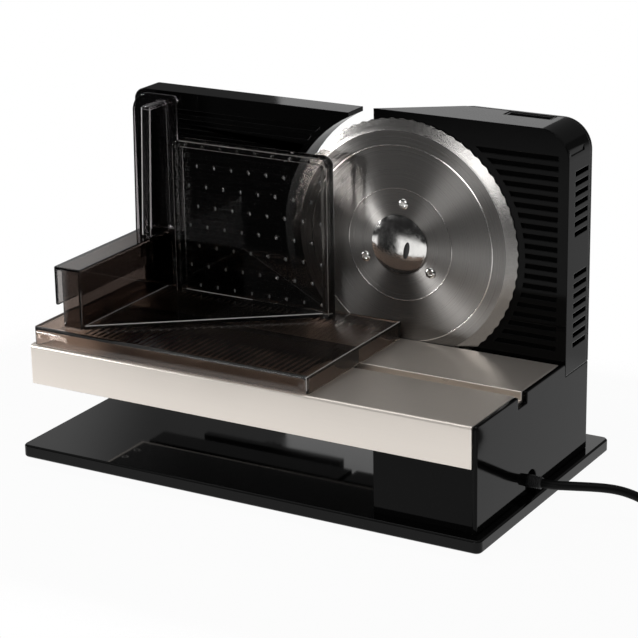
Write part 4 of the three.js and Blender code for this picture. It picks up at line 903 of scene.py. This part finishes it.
pad_mesh.faces.new([pad_mesh.verts.new(vert.co - Vector((0, pad_lift, 0))) for vert in slot_floor])
bmesh.ops.recalc_face_normals(pad_mesh, faces=pad_mesh.faces)
bmesh.ops.solidify(pad_mesh, geom=pad_mesh.faces, thickness=pad_thickness)
fitted(as_piece("lock_slot_floor", pad_mesh, inner_plastic), "lock", "inner_plastic")
cap_back = walled(lock_mesh, rings[-1])
for vert in cap_back:
    vert.co.y = lock_face + lock_height
bmesh.ops.contextual_create(lock_mesh, geom=cap_back)
bmesh.ops.recalc_face_normals(lock_mesh, faces=lock_mesh.faces)
fitted(as_piece("lock_cap", lock_mesh, bright_chrome, 35), "lock", "bright_chrome", "blade_lock")
stem_outline = [
    (stem_start, 0),
    (stem_start, lock_stem),
    (lock_high.y - stem_round, lock_stem),
    (lock_high.y, lock_stem - stem_round),
    (lock_high.y, 0),
]
stem = as_piece("lock_stem", spun(stem_outline, blade_centre, blade_axis, 32), bright_chrome)
fitted(stem, "lock", "bright_chrome", "blade_lock")

# Drive inside the upright: a worm on the motor's shaft turns a moulded gear on the blade's axle.
# Steel, bronze and nylon pieces, with the motor's can and its copper windings behind the vents.
nylon = new_finish("nylon", (0.78, 0.75, 0.66), 0.5)
nylon_tone = mottle(nylon, 200, 3)
colour_by(nylon, nylon_tone, (0.7, 0.67, 0.58), (0.82, 0.79, 0.71))
rough_by(nylon, nylon_tone, 0.42, 0.58)
bronze = new_finish("bronze", (0.45, 0.27, 0.12), 0.38, 1.0)
bronze_tone = mottle(bronze, 350, 3)
colour_by(bronze, bronze_tone, (0.38, 0.22, 0.1), (0.52, 0.32, 0.15))
rough_by(bronze, bronze_tone, 0.3, 0.5)
dressed("blade_axle", "cutter", "plain_steel", screw_steel, 0.0003)
for end in ("front", "rear"):
    dressed(f"{end}_bearing", "frame", "plain_steel", screw_steel, 0.0003)
dressed("drive_gear", "cutter", "gear_plastic", nylon, 0.0002, segments=1)
dressed("worm", "rotor", "plain_steel", screw_steel, 0.0001, segments=1, angle=60)
dressed("motor_shaft", "rotor", "plain_steel", screw_steel, 0.0003)
dressed("motor_armature", "rotor", "bronze", bronze, 0.0005)
dressed("motor_can", "frame", "plain_steel", screw_steel, 0.0004)
dressed("motor_end_cap", "frame", "inner_plastic", inner_plastic, 0.0004)
dressed("worm_bush", "frame", "bronze", bronze, 0.0003)
dressed("run_capacitor", "frame", "inner_plastic", inner_plastic, 0.0008)
dressed("terminal_block", "frame", "inner_plastic", nylon, 0.0006)

# Stop plate: a hollow gloss black moulding with ribs, moved back and forth to set the slice's thickness.
# It slides on two steel rods, driven by a knob behind it through a threaded drum.
dressed("stop_plate", "stop", "gloss_black", gloss_black, 0.0003, rear=satin_black, groove_shade=groove_shade_black)
dressed("thickness_stud", "stop", "plain_steel", screw_steel, 0.0004)
for hand in ("left", "right"):
    dressed(f"guide_rod_{hand}", "frame", "plain_steel", screw_steel, 0.0004)
dressed("guide_bridge", "frame", "inner_plastic", inner_plastic, 0.0005)
dressed("thickness_drum", "knob", "gear_plastic", nylon, 0.0003)
dressed("thickness_knob", "knob", "gloss_black", switch_plastic, 0.0005, segments=3)

# Carriage: a tray, a grip wall and a thumb guard of clear smoke-brown plastic.
# The tray's floor has low ribs that let food slide, and a runner below it follows the table's groove.
# The grip wall's tint is painted darker in two steps towards its inner side: painted shade for the
# darkening seen through its layers.
wall_outside = (0.32, 0.3, 0.29)
wall_between_shaded = (0.11, 0.085, 0.073)
wall_inside_shaded = (0.012, 0.008, 0.0065)
wall_first_step = (-0.1485, -0.147)
wall_second_step = (-0.1313, -0.1307)


def smoky_plastic(name, light, low, high, dark=None, ease=0.0):
    """Clear tinted plastic with a polished, slightly smeared surface."""
    finish = new_finish(name, light, low)
    shader = finish.node_tree.nodes["Principled BSDF"]
    shader.inputs["Transmission Weight"].default_value = 1.0
    shader.inputs["IOR"].default_value = 1.5
    rough_by(finish, mottle(finish, 30, 4, 0.6), low, high)
    if dark:
        colour_by(finish, mottle(finish, 12, 2), dark, light)
    if ease:
        lead(finish, "Normal", eased(finish, ease))
    return finish


tray_plastic = smoky_plastic(
    "tray_plastic", (0.58, 0.49, 0.435), 0.04, 0.09, dark=(0.5, 0.42, 0.37), ease=0.0006,
)
guard_plastic = smoky_plastic("guard_plastic", (0.3, 0.28, 0.285), 0.03, 0.06, dark=(0.22, 0.205, 0.21))
wall_plastic = smoky_plastic("wall_plastic", (0.16, 0.125, 0.105), 0.03, 0.06)
# Painted shade: the wall's tint steps from its outer colour to near black towards the right, its inner
# side.
wall_across = wired(wall_plastic, "ShaderNodeSeparateXYZ", {"Vector": place_on(wall_plastic)})["X"]
wall_first_shade = spread(wall_plastic, wall_across, 0, 1, *wall_first_step)
wall_second_shade = spread(wall_plastic, wall_across, 0, 1, *wall_second_step)
wall_layer_shade = tint(wall_plastic, wall_first_shade, wall_outside, wall_between_shaded)
colour_by(wall_plastic, wall_second_shade, wall_layer_shade, wall_inside_shaded)

rib_pitch = 0.0047
rib_height = 0.00024
rib_steps = 4
rib_inset = 0.006
rib_fade = 0.001
tray_low, tray_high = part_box("carriage_tray")
rib_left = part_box("carriage_wall")[1].x + 0.003
rib_right = tray_high.x - rib_inset
rib_front = tray_low.y + rib_inset
rib_back = tray_high.y - rib_inset
rib_count = int((rib_right - rib_left) / rib_pitch)
rib_end = rib_left + rib_count * rib_pitch
tray_rear = 0.0325
tray_mesh = copied("carriage_tray")
broken_edges(tray_mesh, 0.0006, segments=3)
for step in range(rib_count * rib_steps + 1):
    sliced(tray_mesh, (rib_left + step * rib_pitch / rib_steps, 0, 0), (1, 0, 0))
for y in (rib_front, rib_front + rib_fade, rib_back - rib_fade, rib_back):
    sliced(tray_mesh, (0, y, 0), (0, 1, 0))
for vert in tray_mesh.verts:
    on_floor = abs(vert.co.z - tray_high.z) < 1e-6 and rib_left < vert.co.x < rib_end
    if on_floor and rib_front + rib_fade / 2 < vert.co.y < rib_back - rib_fade / 2:
        wave = 0.5 - 0.5 * math.cos(2 * math.pi * (vert.co.x - rib_left) / rib_pitch)
        vert.co.z += rib_height * wave
    if vert.co.y > tray_rear:
        vert.co.y -= blade_room
tray = as_piece("carriage_tray_finished", tray_mesh, tray_plastic, 35)
fitted(tray, "carriage", "smoky_plastic", "carriage_tray")
dressed("carriage_runner", "carriage", "inner_plastic", inner_plastic, 0.0005)
dressed("carriage_wall", "carriage", "smoky_plastic", wall_plastic, 0.0007, segments=1)
dressed("thumb_guard", "carriage", "smoky_plastic", guard_plastic, 0.0007, segments=1)

# Painted highlights: clear plastic gathers light along its rims, which therefore look pale.
# Thin rounded strips of pale plastic along the edges of the tray and the guard paint that light on.
tray_side = tray_high.x - 0.0005
tray_corner = (tray_high.x - 0.0008, tray_low.y + 0.0008)
guard_foot = 0.1415
guard_head = 0.2305
edge_highlight_paint = new_finish("edge_highlight_paint", (0.7, 0.68, 0.66), 0.25)
highlight_breaks = mottle(edge_highlight_paint, 60, 3)
colour_by(edge_highlight_paint, highlight_breaks, (0.5, 0.485, 0.47), (0.8, 0.78, 0.76))
rough_by(edge_highlight_paint, highlight_breaks, 0.2, 0.35)


def highlight_strips(name, body, runs):
    """Thin round strips of painted highlight along edges, each a radius with the places where it starts and
    ends.
    """
    mesh = bmesh.new()
    for radius, start, end in runs:
        along = Vector(end) - Vector(start)
        turn = along.to_track_quat("Z", "Y").to_matrix().to_4x4()
        middle = Matrix.Translation((Vector(start) + Vector(end)) / 2)
        bmesh.ops.create_cone(
            mesh, cap_ends=True, segments=10, radius1=radius, radius2=radius, depth=along.length,
            matrix=middle @ turn,
        )
    fitted(as_piece(name, mesh, edge_highlight_paint), body, "smoky_plastic")


highlight_strips("carriage_edge_highlights", "carriage", [
    (0.0004, (tray_side, tray_low.y + 0.0015, tray_high.z), (tray_side, tray_high.y - 0.002, tray_high.z)),
    (0.00025, (*tray_corner, tray_low.z + 0.003), (*tray_corner, tray_high.z)),
    (0.00045, (-0.1375, 0.0036, guard_foot), (-0.1375, 0.0084, guard_head)),
    (0.00015, (-0.1313, 0.0037, guard_foot), (-0.1313, 0.0085, guard_head)),
])

# Leftover holder: a dark clear plate with small spikes that presses the end of a loaf to the blade.
# It stands on a three-cornered foot and slides on the tray. Pale dots at the spikes' roots are painted
# glints of the spikes seen through the plate.
holder_low, holder_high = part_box("food_pusher")
holder_left = -0.118
holder_rim = 0.014
plate_front = 0.0205
spike_height = 0.0045
spike_radius = 0.0017
row_drop = 0.0284
glint_size = (0.0007, 0.0003, 0.0013)
glint_shift = 0.0015
pusher_plastic = smoky_plastic(
    "pusher_plastic", (0.47, 0.455, 0.445), 0.02, 0.05, dark=(0.4, 0.385, 0.375), ease=0.0005,
)
dressed("food_pusher", "pusher", "smoky_plastic", pusher_plastic, 0.0006, segments=3, angle=35)
spike_tips = {
    (round(vert.co.x, 4), round(vert.co.z, 4))
    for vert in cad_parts["food_pusher"].data.vertices if vert.co.y > holder_high.y - 1e-5
}
row_above = sorted({tip_z for tip_x, tip_z in spike_tips})[1]
low_row = sorted((tip_x, tip_z - row_drop) for tip_x, tip_z in spike_tips if tip_z == row_above)
point_back = Matrix.Rotation(-math.pi / 2, 4, "X")
spikes_mesh = bmesh.new()
for tip_x, tip_z in low_row:
    spike_place = Matrix.Translation((tip_x, holder_high.y - spike_height / 2, tip_z))
    bmesh.ops.create_cone(
        spikes_mesh, cap_ends=True, segments=4, radius1=spike_radius, radius2=0, depth=spike_height,
        matrix=spike_place @ point_back,
    )
fitted(as_piece("pusher_low_spikes", spikes_mesh, pusher_plastic, 30), "pusher", "smoky_plastic")
# Painted glints: opaque pale dots on the plate's front, where the spikes behind it would catch the light.
spike_glint_paint = new_finish("spike_glint_paint", grey(0.1), 0.2)
rough_by(spike_glint_paint, mottle(spike_glint_paint, 900, 2), 0.15, 0.3)
glint_dots_mesh = bmesh.new()
for tip_x, tip_z in sorted(spike_tips) + low_row:
    root = Matrix.Translation((tip_x + glint_shift, plate_front, tip_z)) @ Matrix.Diagonal((*glint_size, 1))
    bmesh.ops.create_uvsphere(glint_dots_mesh, u_segments=12, v_segments=8, radius=1, matrix=root)
fitted(as_piece("pusher_spike_glints", glint_dots_mesh, spike_glint_paint, 60), "pusher", "smoky_plastic")

foot_top = holder_low.z + 0.0025
foot_left = holder_low.x + 0.0003
foot_corner = (holder_low.x + 0.0006, holder_low.y + 0.001, foot_top)
plate_line = plate_front - 0.0002
rim_line = holder_rim + 0.0003
rim_inner = holder_rim + 0.0002
rim_top = 0.2087
rim_under = 0.2048
rim_side = 0.203
rim_left = holder_left + 0.0004
rim_right = holder_high.x - 0.0003
# Painted highlights along the leftover holder's foot, rim and sides.
highlight_strips("pusher_edge_highlights", "pusher", [
    (0.0004, foot_corner, (holder_high.x - 0.001, plate_line, foot_top)),
    (0.0002, (foot_left, holder_low.y + 0.0006, foot_top), (foot_left, plate_front, foot_top)),
    (0.0002, (holder_left + 0.003, plate_line, foot_top), (-0.06, plate_line, foot_top)),
    (0.0003, (holder_left + 0.006, rim_line, rim_top), (holder_high.x - 0.006, rim_line, rim_top)),
    (0.00015, (holder_left + 0.007, rim_inner, rim_under), (holder_high.x - 0.007, rim_inner, rim_under)),
    (0.0002, (rim_right, rim_line, foot_top), (rim_right, rim_line, rim_side)),
    (0.00012, (rim_left, rim_inner, foot_top), (rim_left, rim_inner, rim_side)),
])
